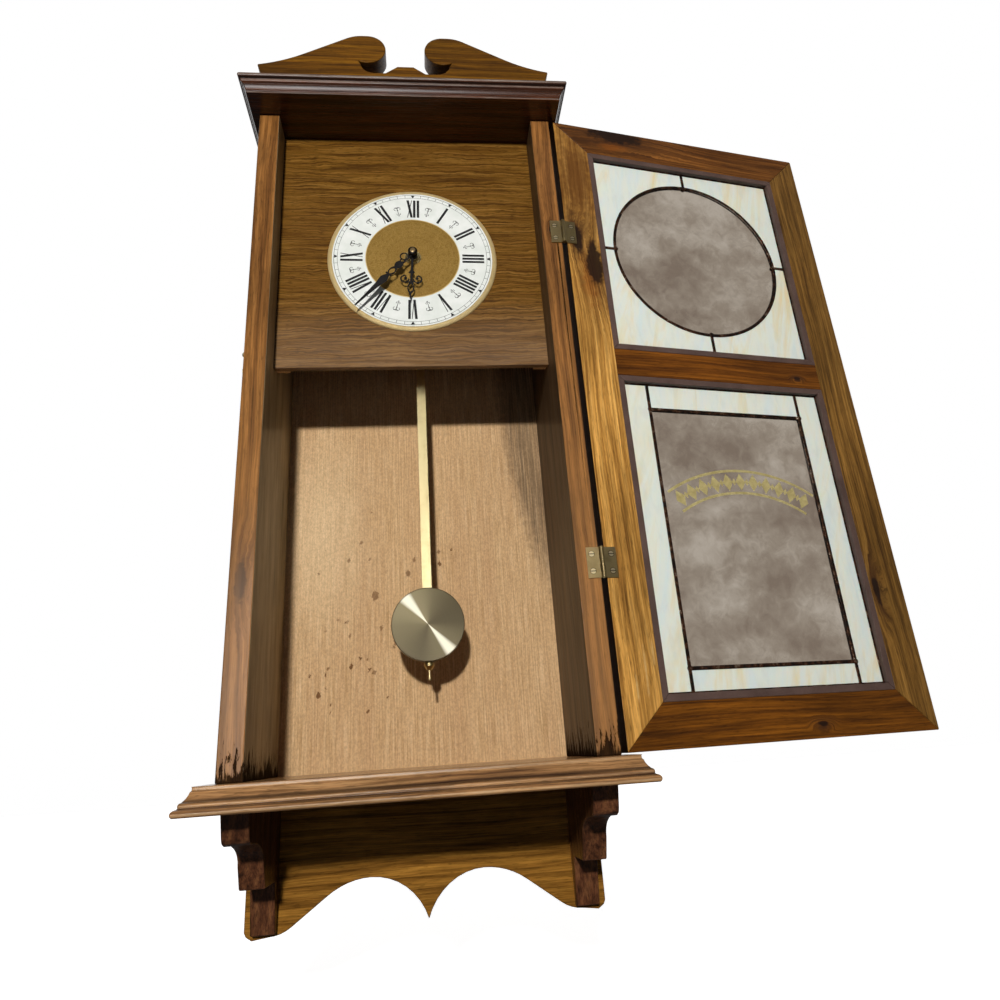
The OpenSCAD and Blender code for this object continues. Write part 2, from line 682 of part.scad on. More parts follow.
// The dial: a shallow brass pan whose rim falls away to the board, a white ring and a brass centre.
// The rim starts level with the ring's face: [share of its width, share of the pan's depth].
face_play = 0.2;
face_hole_r = bush_r + face_play;
rim = [[0.1, 1.17], [0.3, 1.13], [0.6, 0.94], [0.85, 0.67], [1, 0.28]];
rim_back = [[0.8, 0.2], [0.6, 0.5]];
module dial_pan() color("goldenrod") in_dial() turned_y(dial_y, 0, dial_z, $fn = 120)
  polygon(concat([[face_hole_r, pan_h - pan_t], [face_hole_r, pan_h], [face_r + face_play, pan_h]],
    [for (p = rim) [face_r + p[0] * pan_rim, p[1] * pan_h]], [[pan_r, 0], [pan_r - pan_t, 0]],
    [for (p = rim_back) [face_r + p[0] * pan_rim, p[1] * pan_h]], [[face_r, pan_h - pan_t]]));
module chapter_ring() color("white") in_dial() difference() {
  rod_y(face_r, pan_face - ring_t, pan_face, 0, dial_z, $fn = 120);
  rod_y(centre_r + 0.1, pan_face - ring_t - over, pan_face + over, 0, dial_z, $fn = 120);
}
module dial_centre() color("darkgoldenrod") in_dial() difference() {
  rod_y(centre_r, pan_face - disc_t, pan_face, 0, dial_z, $fn = 120);
  rod_y(face_hole_r, pan_face - disc_t - over, pan_face + over, 0, dial_z);
}

// Involute gear outline with its first tooth centred on +X
function involute(a) = tan(a) * 180 / PI - a;
function gear_points(n) = let (
    rp = gear_m * n / 2,
    rb = rp * cos(pressure),
    rf = rp - dedendum * gear_m,
    rs = [max(rb, rf + 0.01), rp + addendum * gear_m],
    half_tooth = 90 / n - backlash * 180 / (PI * gear_m * n),
    at = [for (r = rs) half_tooth + involute(pressure) - involute(acos(min(1, rb / r)))])
  [for (k = [0:n - 1], p = [[rf, -at[0]], [rs[0], -at[0]], [rs[1], -at[1]],
      [rs[1], at[1]], [rs[0], at[0]], [rf, at[0]]])
    let (a = 360 * k / n + p[1]) [p[0] * cos(a), p[0] * sin(a)]];
// A gear in the XZ plane, turned so that a tooth points at the given angle from +X
module gear(n, y, t, turn) plate_xz(y, y + t) rotate(turn) polygon(gear_points(n));

// Movement: a housing with a threaded bush, and a cover with the battery bay behind
module movement_housing() color("dimgray") in_dial() difference() {
  union() {
    block(-mv_w / 2, mv_w / 2, mv_front, mv_split, mv_lo, mv_hi);
    rod_y(bush_r, bush_front, mv_front, 0, dial_z);
  }
  block(-mv_w / 2 + mv_wall, mv_w / 2 - mv_wall, mv_front + mv_wall, mv_split + over,
    bay_lo + bay_h + mv_wall, mv_hi - mv_wall);
  block(-mv_w / 2 + mv_wall, mv_w / 2 - mv_wall, mv_front + mv_wall, mv_split + over,
    bay_lo, bay_lo + bay_h);
  rod_y(tube_r + fit, bush_front - over, mv_front + 2 * mv_wall, 0, dial_z);
  rod_y(pivot_r + fit, mv_front - over, mv_front + 2 * mv_wall, -gear_c, dial_z);
}
module movement_cover() color("dimgray") in_dial() difference() {
  block(-mv_w / 2, mv_w / 2, mv_split, mv_back, mv_lo, mv_hi);
  block(-mv_w / 2 + mv_wall, mv_w / 2 - mv_wall, mv_split - over, mv_back - mv_wall,
    bay_lo + bay_h + mv_wall, mv_hi - mv_wall);
  block(-mv_w / 2 + mv_wall, mv_w / 2 - mv_wall, mv_split - over, mv_back + over,
    bay_lo, bay_lo + bay_h);
  rod_y(pivot_r + fit, mv_back - 2 * mv_wall, mv_back + over, 0, dial_z);
  rod_y(wheel_arbor_r + fit, mv_back - 2 * mv_wall, mv_back + over, -gear_c, dial_z);
}
module rubber_washer() color("black") in_dial() difference() {
  rod_y(9, board_back, mv_front, 0, dial_z);
  rod_y(bush_r + fit, board_back - over, mv_front + over, 0, dial_z);
}
module fixing_washer() color("goldenrod") in_dial() difference() {
  rod_y(8, pan_face - disc_t - fix_washer_t, pan_face - disc_t, 0, dial_z);
  rod_y(bush_r + fit, pan_face - 5, pan_face + over, 0, dial_z);
}
module fixing_nut() color("goldenrod") in_dial() difference() {
  rod_y(6.8, pan_face - disc_t - fix_washer_t - fix_nut_t, pan_face - disc_t - fix_washer_t, 0, dial_z,
    $fn = 6);
  rod_y(bush_r + fit, pan_face - 6, pan_face + over, 0, dial_z);
}
coil_y = (mv_front + mv_back) / 2;
coil_z = dial_z + 18;
coil_x = 2;
coil_l = 18;
coil_r = 4.5;
cheek_t = 2;
cheek_half = 6;
module drive_coil() color("orangered") in_dial() {
  rod_x(coil_r, coil_x + cheek_t, coil_x + cheek_t + coil_l, coil_y, coil_z);
  for (x = [coil_x, coil_x + cheek_t + coil_l])
    block(x, x + cheek_t, mv_front + mv_wall, coil_y + cheek_half, coil_z - cheek_half, coil_z + cheek_half);
}
cell_r = 7.1;
cell_l = 49;
cell_nub_l = 1.2;
contact_t = 0.4;
bay_half = mv_w / 2 - mv_wall;
cell_end = bay_half - contact_t - cell_nub_l;
cell_z = bay_lo + bay_h / 2;
cell_y = mv_front + mv_wall + cell_r + 0.4;
module battery() color("silver") in_dial() {
  rod_x(cell_r, cell_end - cell_l, cell_end, cell_y, cell_z);
  rod_x(2.7, cell_end, cell_end + cell_nub_l, cell_y, cell_z);
}
// A flat contact at the cell's nub, and a plate with a pressed spring cone at its other end
module battery_contacts() color("gainsboro") in_dial() {
  for (x = [-bay_half, bay_half - contact_t])
    block(x, x + contact_t, cell_y - 5, cell_y + 5, cell_z - 6, cell_z + 6);
  translate([contact_t - bay_half, cell_y, cell_z]) rotate([0, 90, 0])
    cylinder(r1 = 4.5, r2 = 2.5, h = cell_end - cell_l + bay_half - contact_t);
}

// Pendulum drive: a flat box on the cover, with the pin that the lever hangs from
drive_x = [-8, 20];
drive_z = [-13, 28];
module pendulum_drive() color("dimgray") in_dial() {
  block(pendulum_x + drive_x[0], pendulum_x + drive_x[1], mv_back, mv_back + drive_d,
    pivot_z + drive_z[0], pivot_z + drive_z[1]);
  rod_y(lever_pin_r, mv_back + drive_d, lever_y + lever_t + 1, pendulum_x, pivot_z);
  rod_y(lever_pin_r + 1, lever_y + lever_t + 0.2, lever_y + lever_t + 1, pendulum_x, pivot_z);
}
lever_pin_r = 1;
module suspension_lever() color("gainsboro") in_dial() {
  plate_xz(lever_y, lever_y + lever_t) translate([pendulum_x, pivot_z]) difference() {
    union() {
      circle(r = 4);
      translate([-2.5, -lever_l]) square([5, lever_l]);
      translate([0, -lever_l]) circle(r = 4);
    }
    circle(r = lever_pin_r + fit);
  }
  rod_y(stud_r + 1, lever_y + lever_t, pendulum_y - 0.1, pendulum_x, pivot_z - lever_l);
  rod_y(stud_r, lever_y + lever_t, pendulum_y + rod_t + 1.2, pendulum_x, pivot_z - lever_l);
  rod_y(stud_r + 1, pendulum_y + rod_t + 0.4, pendulum_y + rod_t + 1.2, pendulum_x, pivot_z - lever_l);
}
strip_end = bob_z - bob_r + 8;
module pendulum_rod() color("gold") in_dial() {
  difference() {
    block(pendulum_x - rod_w / 2, pendulum_x + rod_w / 2, pendulum_y, pendulum_y + rod_t, strip_end, rod_top);
    rod_y(stud_r + fit, pendulum_y - over, pendulum_y + rod_t + over, pendulum_x, pivot_z - lever_l);
  }
  translate([pendulum_x, pendulum_y + rod_t / 2, stud_end]) cylinder(r = thread_r, h = strip_end - stud_end + 3);
}
// The bob: a shallow brass drum, open behind, with two bridges that slide on the flat rod
bridge_z = 17;
bridge_half = 9;
rod_play = 0.1;
module pendulum_bob() color("darkkhaki") in_dial() difference() {
  union() {
    turned_y(bob_front + bob_t, pendulum_x, bob_z, $fn = 120)
      polygon(concat([[0, bob_t], [0, bob_t - bob_wall], [bob_r - bob_wall, bob_t - bob_wall],
        [bob_r - bob_wall, 0], [bob_r, 0]], arc(bob_r - 0.6, bob_t - 0.6, 0.6, 0, 90, 4)));
    for (z = [bob_z - bridge_z, bob_z + bridge_z])
      block(pendulum_x - bridge_half, pendulum_x + bridge_half, bob_front + bob_wall / 2,
        bob_front + bob_t, z - 2, z + 2);
  }
  block(pendulum_x - rod_w / 2 - rod_play, pendulum_x + rod_w / 2 + rod_play, pendulum_y - rod_play,
    pendulum_y + rod_t + rod_play, bob_z - bob_r + 3, bob_z + bob_r + over);
  translate([pendulum_x, pendulum_y + rod_t / 2, bob_z - bob_r - over])
    cylinder(r = thread_r + rod_play, h = bob_r);
}
module rating_nut() color("goldenrod") in_dial()
  translate([pendulum_x, pendulum_y + rod_t / 2, 0]) rotate_extrude()
    polygon([[thread_r + fit, nut_top], [3.2, nut_top], [4.2, nut_top - 1.2], [4.2, nut_top - 3.4],
      [2.2, nut_top - 6.6], [thread_r + fit, nut_top - 6.6]]);

// Hands, drawn along +Y of a flat outline and then turned to their clock angle
module at_dial(y, angle) translate([0, 0, dial_z]) plate_xz(y - hand_t, y) rotate(-angle) children();
module ring(r_out, r_in) difference() {
  circle(r = r_out);
  circle(r = r_in);
}
// A pointed oval of the given half width and half length, c from the arbor
module leaf(w, l, c) translate([0, c]) intersection() {
  r = (w * w + l * l) / (2 * w);
  translate([r - w, 0]) circle(r = r);
  translate([w - r, 0]) circle(r = r);
}
// A hand on its collet, which runs from the hand's back at y0 to y1, bored right through
module on_collet(y0, y1, r, hole) difference() {
  union() {
    children();
    rod_y(r, y0 - hand_t / 2, y1, 0, dial_z);
  }
  rod_y(hole, y0 - hand_t - over, y1 + over, 0, dial_z);
}
// Serpentine minute hand: two loops, a solid swelling, a ring, a collar and a long spear
module minute_hand() color("black") in_dial()
  on_collet(minute_y, hour_y - hand_t - 0.3, 3.5, arbor_r + press)
  at_dial(minute_y, minute_angle) difference() {
    union() {
      circle(r = 3.9);
      translate([2.4, 9.4]) circle(r = 4.3);
      translate([0.3, 14.2]) circle(r = 2.7);
      translate([-2.6, 2]) square([1.5, 15]);
      leaf(3.7, 5.5, 19.8);
      leaf(3.4, 6.6, 29);
      translate([-3.4, 33.6]) square([6.8, 1.5]);
      polygon([[-1.5, 35], [-4, 41], [-2.5, 49], [-1.2, 67], [-0.7, minute_hand_l], [0.7, minute_hand_l],
        [1.2, 67], [2.5, 49], [4, 41], [1.5, 35]]);
    }
    translate([2.4, 9.4]) circle(r = 3.1);
    translate([0.3, 14.2]) circle(r = 1.4);
    leaf(2.2, 3.8, 29.5);
  }
// Hour hand: a barbed stem, a pair of curls, an open leaf and a slender tip
module hour_hand() color("black") in_dial()
  on_collet(hour_y, bush_front - 0.4, 4, tube_r + press)
  at_dial(hour_y, hour_angle) difference() {
    union() {
      circle(r = 4.4);
      translate([-1.1, 0]) square([2.2, 34]);
      for (m = [0, 1]) mirror([m, 0]) {
        polygon([[0.8, 18], [3.1, 22], [0.8, 22.4]]);
        translate([6, 29]) difference() {
          ring(4.5, 3.1);
          translate([-5, -5]) square([5, 5]);
        }
        translate([5.4, 28.3]) circle(r = 1.5);
        translate([5, 25]) rotate(10) square([1.2, 3]);
      }
      translate([-2.5, 31.6]) square([5, 2.6]);
      leaf(3.3, 7, 39);
      polygon([[-0.9, 44], [-0.5, hour_hand_l], [0.5, hour_hand_l], [0.9, 44]]);
    }
    leaf(2.1, 4.6, 38.6);
  }
module hand_nut() color("black") in_dial() difference() {
  dome_r = (nut_r * nut_r + nut_dome * nut_dome) / (2 * nut_dome);
  turned_y(minute_y - hand_t, 0, dial_z)
    polygon(concat([[0, 0], [nut_r, 0]], arc(0, nut_l - dome_r, dome_r, acos(nut_r / dome_r), 90, 6)));
  rod_y(arbor_r + press, minute_y - hand_t - 2, minute_y, 0, dial_z);
}
module minute_arbor() color("gold") in_dial() {
  rod_y(arbor_r, minute_y - hand_t - 2, mv_back - 2 * mv_wall, 0, dial_z);
  rod_y(pivot_r, mv_back - 3 * mv_wall, mv_back - 0.3, 0, dial_z);
  translate([0, 0, dial_z]) gear(cannon_n, minute_gear_y - 0.4, wheel_t + 0.8, 180);
}
module hour_wheel() color("white") in_dial() difference() {
  union() {
    translate([0, 0, dial_z]) gear(hour_n, hour_gear_y, wheel_t, 180 + 180 / hour_n);
    rod_y(tube_r, hour_y - hand_t, hour_gear_y + wheel_t, 0, dial_z);
  }
  rod_y(arbor_r + fit, hour_y - hand_t - over, hour_gear_y + wheel_t + over, 0, dial_z);
}
module minute_wheel() color("white") in_dial() translate([-gear_c, 0, dial_z]) {
  gear(minute_n, minute_gear_y, wheel_t, 180 / minute_n);
  gear(pinion_n, hour_gear_y - 0.3, wheel_t + 0.6, 0);
  rod_y(wheel_arbor_r, hour_gear_y, mv_back + 1, 0, 0);
  rod_y(pivot_r, mv_front + 0.3, hour_gear_y, 0, 0);
}
module set_knob() color("red") in_dial() translate([-gear_c, 0, dial_z]) difference() {
  union() {
    rod_y(6, mv_back + 0.5, mv_back + 6, 0, 0);
    for (a = [0:30:330]) rotate([0, a, 0]) rod_y(0.8, mv_back + 1, mv_back + 6, 5.9, 0);
  }
  rod_y(wheel_arbor_r + press, mv_back, mv_back + 1, 0, 0);
}

side_board_left();
side_board_right();
crown_board();
base_board();
back_panel();
lower_back_board();
bracket_left();
bracket_right();
pediment();
dial_board();
dial_cleats();
case_screws();
hinge_case_leaves();
hinge_case_screws();
hinge_pins();
catch_screw();
dial_pan();
chapter_ring();
dial_centre();
movement_housing();
movement_cover();
rubber_washer();
fixing_washer();
fixing_nut();
drive_coil();
battery();
battery_contacts();
pendulum_drive();
door_stile_hinge();
door_stile_free();
door_top_rail();
door_mid_rail();
door_bottom_rail();
upper_opal_glass();
upper_round_glass();
upper_came();
lower_opal_glass();
lower_clear_glass();
lower_came();
upper_glass_stops();
lower_glass_stops();
hinge_door_leaves();
hinge_door_screws();
catch_peg();
catch_hook();
suspension_lever();
pendulum_rod();
pendulum_bob();
rating_nut();
minute_hand();
minute_arbor();
hand_nut();
hour_hand();
hour_wheel();
minute_wheel();
set_knob();
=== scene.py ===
# %% [markdown]
# # A wall regulator clock
#
# The clock hangs on a wall from one hole near its top. Its glazed door stands wide open on two small
# hinges, so the picture looks straight into the case: dial, pendulum and a pale back.
# The solids come from the CAD model and stay where they are. Blender gives them their surfaces,
# and adds what was printed, soldered or worn onto the real thing.

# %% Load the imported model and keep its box
import json
import math
import bpy
from mathutils import Matrix, Vector


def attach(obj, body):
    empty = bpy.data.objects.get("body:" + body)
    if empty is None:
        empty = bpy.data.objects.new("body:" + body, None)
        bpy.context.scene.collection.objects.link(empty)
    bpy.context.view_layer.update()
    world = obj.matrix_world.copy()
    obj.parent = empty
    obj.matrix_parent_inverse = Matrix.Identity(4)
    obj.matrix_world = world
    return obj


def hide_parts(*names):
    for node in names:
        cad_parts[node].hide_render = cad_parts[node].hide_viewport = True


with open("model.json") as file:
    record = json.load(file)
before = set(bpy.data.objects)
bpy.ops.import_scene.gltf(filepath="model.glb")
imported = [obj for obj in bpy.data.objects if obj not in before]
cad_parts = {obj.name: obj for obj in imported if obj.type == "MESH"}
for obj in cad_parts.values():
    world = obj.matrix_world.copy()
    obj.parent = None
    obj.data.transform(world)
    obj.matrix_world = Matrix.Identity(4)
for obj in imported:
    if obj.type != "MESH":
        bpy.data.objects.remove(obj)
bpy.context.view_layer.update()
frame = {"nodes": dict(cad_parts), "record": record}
nodes = frame["nodes"]
bpy.ops.object.select_all(action="DESELECT")

# %% [markdown]
# ## Two rulers
#
# The case is measured from its front bottom middle, and the door from its hinge edge.
# Both rulers are kept here, in millimetres, and turned into Blender's metres in one place each.
# The door stands 190 degrees open, 10 past the plane of the case's front, so its ruler is turned.

# %% Measure from the case, or from the open door
CASE_DEPTH = 132
HANGING_HOLE = 573
PIN_X, PIN_Y = 146.1, -1.4
DOOR_FROM_PIN, DOOR_BEFORE_PIN = 2.9, 1.4
DOOR_TURN = math.radians(10)


def on_case(x, y, z):
    return Vector((x, y - CASE_DEPTH, z - HANGING_HOLE)) / 1000


def on_door(u, n, z):
    across, out = u + DOOR_FROM_PIN, n + DOOR_BEFORE_PIN
    x = PIN_X + across * math.cos(DOOR_TURN) - out * math.sin(DOOR_TURN)
    y = PIN_Y + across * math.sin(DOOR_TURN) + out * math.cos(DOOR_TURN)
    return on_case(x, y, z)


DIAL = on_case(1.9, 27.9, 459.3)
print("dial centre", tuple(round(v, 4) for v in DIAL), "m")

# %% [markdown]
# ## Camera
#
# The picture is taken from close by, level with the foot of the case, looking up at the clock.
# The upright sides run together towards the top, so the view is close and wide, not long and flat.
# The lens and the place were worked out from the corners of the case, the door and the shelf.

# %% Place the camera
FOCAL_PIXELS = 731.0
IMAGE_PIXELS = 1000
SENSOR_WIDTH = 36
EYE = on_case(4.35, -563.22, 9.915)
SHIFT_X, SHIFT_Y = 0.0002, -0.0302
pitch, yaw, roll = 0.364, 0.070, -0.114
bpy.ops.object.camera_add(location=EYE)
camera = bpy.context.object


def turned(axis, angle):
    return Matrix.Rotation(angle, 3, axis)


# The fit turned the lens about Z, then X, then Y, with Y as its line of sight
sight = turned("Z", roll) @ turned("X", pitch) @ turned("Y", yaw)
camera.rotation_euler = (sight @ turned("X", math.radians(90))).to_euler()
camera.data.sensor_width = SENSOR_WIDTH
camera.data.lens = FOCAL_PIXELS / IMAGE_PIXELS * SENSOR_WIDTH
camera.data.shift_x = SHIFT_X
camera.data.shift_y = SHIFT_Y
camera.data.clip_start = 0.01
bpy.context.scene.camera = camera
print("lens", round(camera.data.lens, 2), "mm")

# %% [markdown]
# ## Nodes by hand
#
# The studio's light and every finish below are small trees of nodes. One class keeps the wiring
# short: it makes a node, sets its inputs, and joins any input that is given another node's output.
# A second class adds what a surface needs: a place on the clock, noise, a colour and a bump.

# %% A short way to write nodes
class Nodes:
    def __init__(self, tree):
        self.tree = tree

    def node(self, kind, inputs=(), **settings):
        made = self.tree.nodes.new("ShaderNode" + kind)
        for setting, value in settings.items():
            setattr(made, setting, value)
        for slot, value in enumerate(inputs):
            self.give(made.inputs[slot], value)
        return made

    def give(self, socket, value):
        if isinstance(value, bpy.types.NodeSocket):
            self.tree.links.new(value, socket)
        elif socket.type == "RGBA" and len(value) == 3:
            socket.default_value = (*value, 1)
        else:
            socket.default_value = value

    def tune(self, node, **sockets):
        """Sets a node's sockets by name, with _ for a space"""
        for socket, value in sockets.items():
            self.give(node.inputs[socket.replace("_", " ")], value)
        return node

    def math(self, operation, *values):
        return self.node("Math", values, operation=operation).outputs[0]

    def plus(self, *values):
        return self.math("ADD", *values)

    def minus(self, *values):
        return self.math("SUBTRACT", *values)

    def times(self, *values):
        return self.math("MULTIPLY", *values)

    def larger(self, *values):
        return self.math("MAXIMUM", *values)

    def away(self, value, middle):
        return self.math("ABSOLUTE", self.minus(value, middle))

    def between(self, value, low, high, to_low=0.0, to_high=1.0):
        made = self.node("MapRange", (value, low, high, to_low, to_high),
                         interpolation_type="SMOOTHSTEP")
        return made.outputs[0]

    def axis(self, of, index):
        return self.node("SeparateXYZ", (of,)).outputs[index]

    def vector(self, x, y, z):
        return self.node("CombineXYZ", (x, y, z)).outputs[0]

    def shifted(self, of, by):
        return self.node("VectorMath", (of, by), operation="ADD").outputs[0]

    def length(self, of):
        return self.node("VectorMath", (of,), operation="LENGTH").outputs["Value"]

    def along_way(self, of, way):
        return self.node("VectorMath", (of, way), operation="DOT_PRODUCT").outputs["Value"]


print("node kit ready")

# %% A short way to write a finish
class Finish(Nodes):
    def __init__(self, name, **shader):
        self.material = bpy.data.materials.new(name)
        self.material.use_nodes = True
        super().__init__(self.material.node_tree)
        self.shader = self.tree.nodes["Principled BSDF"]
        self.tune(self.shader, **shader)

    def place(self, at=(0, 0, 0), turn=(0, 0, 0), size=(1, 1, 1), of=None):
        """A ruler on the clock: moved, turned, and with marks that far apart"""
        of = of or self.node("TexCoord").outputs["Object"]
        size = size if isinstance(size, tuple) else (size,) * 3
        return self.node("Mapping", (of, at, turn, size), vector_type="TEXTURE").outputs[0]

    def outward(self):
        return self.node("NewGeometry").outputs["True Normal"]

    def noise(self, where, detail=2.0, rough=0.5, twist=0.0, scale=1.0):
        made = self.node("TexNoise", (where,))
        return self.tune(made, Scale=scale, Detail=detail, Roughness=rough, Distortion=twist).outputs[0]

    def wander(self, noise, much):
        """Noise made to swing that much about nothing"""
        return self.times(self.minus(noise, 0.5), much)

    def ramp(self, value, *stops):
        made = self.node("ValToRGB", (value,))
        points = made.color_ramp.elements
        while len(points) < len(stops):
            points.new(0.5)
        for point, (place, colour) in zip(points, stops):
            point.position = place
            point.color = (*colour, 1)
        return made.outputs[0]

    def mix(self, amount, first, second, blend="MIX"):
        return self.node("MixRGB", (amount, first, second), blend_type=blend).outputs[0]

    def so_far(self, socket):
        return self.shader.inputs[socket].links[0].from_socket

    def colour(self, value):
        self.tune(self.shader, Base_Color=value)

    def paint_over(self, amount, colour):
        self.colour(self.mix(amount, self.so_far("Base Color"), colour))

    def shade(self, by):
        self.colour(self.mix(1.0, self.so_far("Base Color"), self.vector(by, by, by), "MULTIPLY"))

    def roughness(self, value):
        self.tune(self.shader, Roughness=value)

    def bump(self, height, depth, strength=1.0):
        made = self.tune(self.node("Bump"), Strength=strength, Distance=depth, Height=height)
        self.tune(self.shader, Normal=made.outputs[0])


def srgb(red, green, blue):
    def linear(v):
        v = v / 255
        return v / 12.92 if v <= 0.04045 else ((v + 0.055) / 1.055) ** 2.4
    return (linear(red), linear(green), linear(blue))


print("finish kit ready")

# %% [markdown]
# ## Light
#
# One lamp stands high in front, and throws the dial board's shadow down the pale back. The rest of
# the studio gives a weak even light. The wall behind the clock and the ceiling are brighter than the
# side behind the camera, which stays dim, so brass has something dark to reflect.

# %% Hang the lamp
LAMP, LAMP_AIM = on_case(-260, -2100, 710), on_case(0, 0, 260)
LAMP_SIZE, LAMP_WATTS = 0.13, 47
bpy.ops.object.light_add(type="AREA", location=LAMP)
key = bpy.context.object
key.data.shape = "DISK"
key.data.size = LAMP_SIZE
key.data.energy = LAMP_WATTS
key.data.color = (1.0, 0.965, 0.92)
key.visible_glossy = False
key.rotation_euler = (LAMP_AIM - LAMP).to_track_quat("-Z", "Y").to_euler()
bpy.context.scene.view_settings.view_transform = "Standard"
print("lamp", round(key.location.length, 2), "m from the hanging hole")

# %% Light the studio
world = bpy.data.worlds.new("studio")
bpy.context.scene.world = world
world.use_nodes = True
sky = Nodes(world.node_tree)
sky.tree.nodes.clear()
WALL_LIGHT, CEILING_LIGHT, ROOM_LIGHT = 0.5, 0.22, 0.008
ROOM_MIRRORED, SCREEN_MIRRORED = 0.13, 9.0


def slope(value, low, high, top=1.0):
    return sky.node("MapRange", (value, low, high, 0.0, top)).outputs[0]


# Which way a ray looks: +Y towards the wall behind the clock, -Y towards the camera
look = sky.node("TexCoord").outputs["Generated"]
behind = slope(sky.axis(look, 1), 0.25, 0.6)
above = slope(sky.axis(look, 2), 0.45, 0.85)
# What bare surfaces get: a dim room, a brighter ceiling, and the bright wall behind
fill = sky.larger(sky.times(behind, WALL_LIGHT), sky.times(above, CEILING_LIGHT))
fill = sky.larger(fill, ROOM_LIGHT)
# What glossy surfaces mirror: the same room with a soft lit screen round the lamp
screen = slope(sky.along_way(look, tuple(LAMP.normalized())), 0.972, 0.992, SCREEN_MIRRORED)
mirrored = sky.larger(behind, sky.plus(screen, ROOM_MIRRORED))
rays = sky.node("LightPath").outputs
level = sky.plus(fill, sky.times(rays["Is Glossy Ray"], sky.minus(mirrored, fill)))
seen = sky.larger(rays["Is Camera Ray"], rays["Is Transmission Ray"])
level = sky.plus(level, sky.times(seen, sky.minus(1.0, level)))
glow = sky.node("Background", ((1, 1, 1), level))
sky.node("OutputWorld", (glow.outputs[0],))
print("studio lit by", len(sky.tree.nodes), "nodes")

# %% [markdown]
# ## Stained pine
#
# The case is pine under orange-brown stain and varnish. Pine shows wide soft bands where the log's
# rings meet the face, fine streaks along the board, and dark knots that the bands bend round.
# Bands, streaks and pores are noise seen through a ruler that is stretched along the board, with
# faint rings below them. Knots and stains are ragged ovals placed one by one, and a knot darkens
# the board and pushes the bands aside.

# %% Place a mark on a board
UPRIGHT = (0, 0, 0)
LEVEL = (0, math.radians(90), 0)
DOOR_UPRIGHT = (0, 0, DOOR_TURN)
DOOR_LEVEL = (0, math.radians(90), DOOR_TURN)
MARK_DEPTH = 0.2


def oval(wood, at, turn, half_width, half_length):
    """How far a point lies from the middle of a mark that goes through a board, with 1 at its edge"""
    return wood.length(wood.place(at, turn, (half_width, MARK_DEPTH, half_length)))


def ragged_oval(wood, at, turn, half_width, half_length, ragged):
    rag = wood.noise(wood.place(size=0.008), 3, scale=1.4)
    return wood.plus(oval(wood, at, turn, half_width, half_length), wood.wander(rag, ragged * 4))


print("marks described")

# %% Describe stained wood
KNOT_BROWN, KNOT_BLACK = (0.055, 0.022, 0.008), (0.012, 0.006, 0.004)


def pine(name, turn, at, pale, deep, dark, gloss=0.36, knots=(), stains=(), coat=0.12):
    wood = Finish(name, Coat_Weight=coat, Coat_Roughness=0.16, Specular_IOR_Level=0.22)
    push = wood.wander(wood.noise(wood.place(at, turn, (0.09, 0.09, 0.5)), 2, scale=2.0), 0.016)
    core = halo = 0.0
    for place, half_width, half_length in knots:
        far = ragged_oval(wood, place, turn, half_width, half_length, 0.24)
        ring = wood.between(far, 3.0, 0.7)
        push = wood.plus(push, wood.times(ring, 0.006))
        core = wood.larger(core, wood.between(far, 1.0, 0.6))
        halo = wood.larger(halo, ring)
    board = wood.shifted(wood.place(at, turn), wood.vector(push, 0.0, 0.0))

    def along(width, length, detail, rough):
        return wood.noise(wood.place(size=(width, width, length), of=board), detail, rough)

    bands = along(0.0085, 0.26, 3, 0.55)
    streaks = along(0.0021, 0.10, 5, 0.68)
    fibres = along(0.0012, 0.034, 3, 0.75)
    pores = along(0.0010, 0.011, 2, 0.6)
    blotch = wood.noise(wood.place(at, turn, (0.05, 0.05, 0.16)), 3, 0.55)
    rings = wood.node("TexWave", (wood.place((0.31, 0.19, 0), size=(1, 1, 12), of=board),),
                      wave_type="RINGS", rings_direction="Z", wave_profile="SIN")
    wood.tune(rings, Scale=38.0, Distortion=5.0, Detail=3.0, Detail_Scale=1.3, Detail_Roughness=0.7)
    grain = wood.plus(wood.times(bands, 0.26), wood.times(streaks, 0.64))
    grain = wood.plus(grain, wood.times(rings.outputs["Fac"], 0.10))
    wood.colour(wood.ramp(grain, (0.35, dark), (0.49, deep), (0.65, pale)))
    light = wood.times(wood.between(blotch, 0.3, 0.7, 0.74, 1.16),
                       wood.between(fibres, 0.32, 0.68, 0.66, 1.24))
    wood.shade(wood.times(light, wood.between(pores, 0.57, 0.67, 1.0, 0.62)))
    for place, half_width, half_length, tint, amount, ragged in stains:
        far = ragged_oval(wood, place, turn, half_width, half_length, ragged)
        wood.paint_over(wood.times(wood.between(far, 1.0, 0.1), amount), tint)
    if knots:
        wood.paint_over(wood.times(halo, wood.between(streaks, 0.35, 0.6, 0.92, 0.4)), KNOT_BROWN)
        wood.paint_over(wood.times(core, 0.92), KNOT_BLACK)
    wood.roughness(wood.between(streaks, 0.3, 0.7, gloss + 0.12, gloss - 0.05))
    wood.bump(wood.plus(streaks, wood.times(fibres, 0.8)), 0.00022, 0.5)
    return wood


print("stained wood described")

# %% [markdown]
# ## Boards with eased edges
#
# Every board has its sharp corner taken off with a plane or a rub of sandpaper, and varnish
# rounds it further. That thin round edge is what catches the light. Each board is a copy of its CAD
# solid with its loose triangles merged, and a bevel modifier cuts the edges by up to a millimetre.
# Weighted normals then keep the flat faces flat, so that only the new edge looks round.

# %% Copy a CAD solid
def alone(*pieces):
    bpy.ops.object.select_all(action="DESELECT")
    for piece in pieces:
        piece.select_set(True)
    bpy.context.view_layer.objects.active = pieces[0]


def copy_of(piece, name):
    twin = bpy.data.objects.new(name, piece.data.copy())
    bpy.context.scene.collection.objects.link(twin)
    return twin


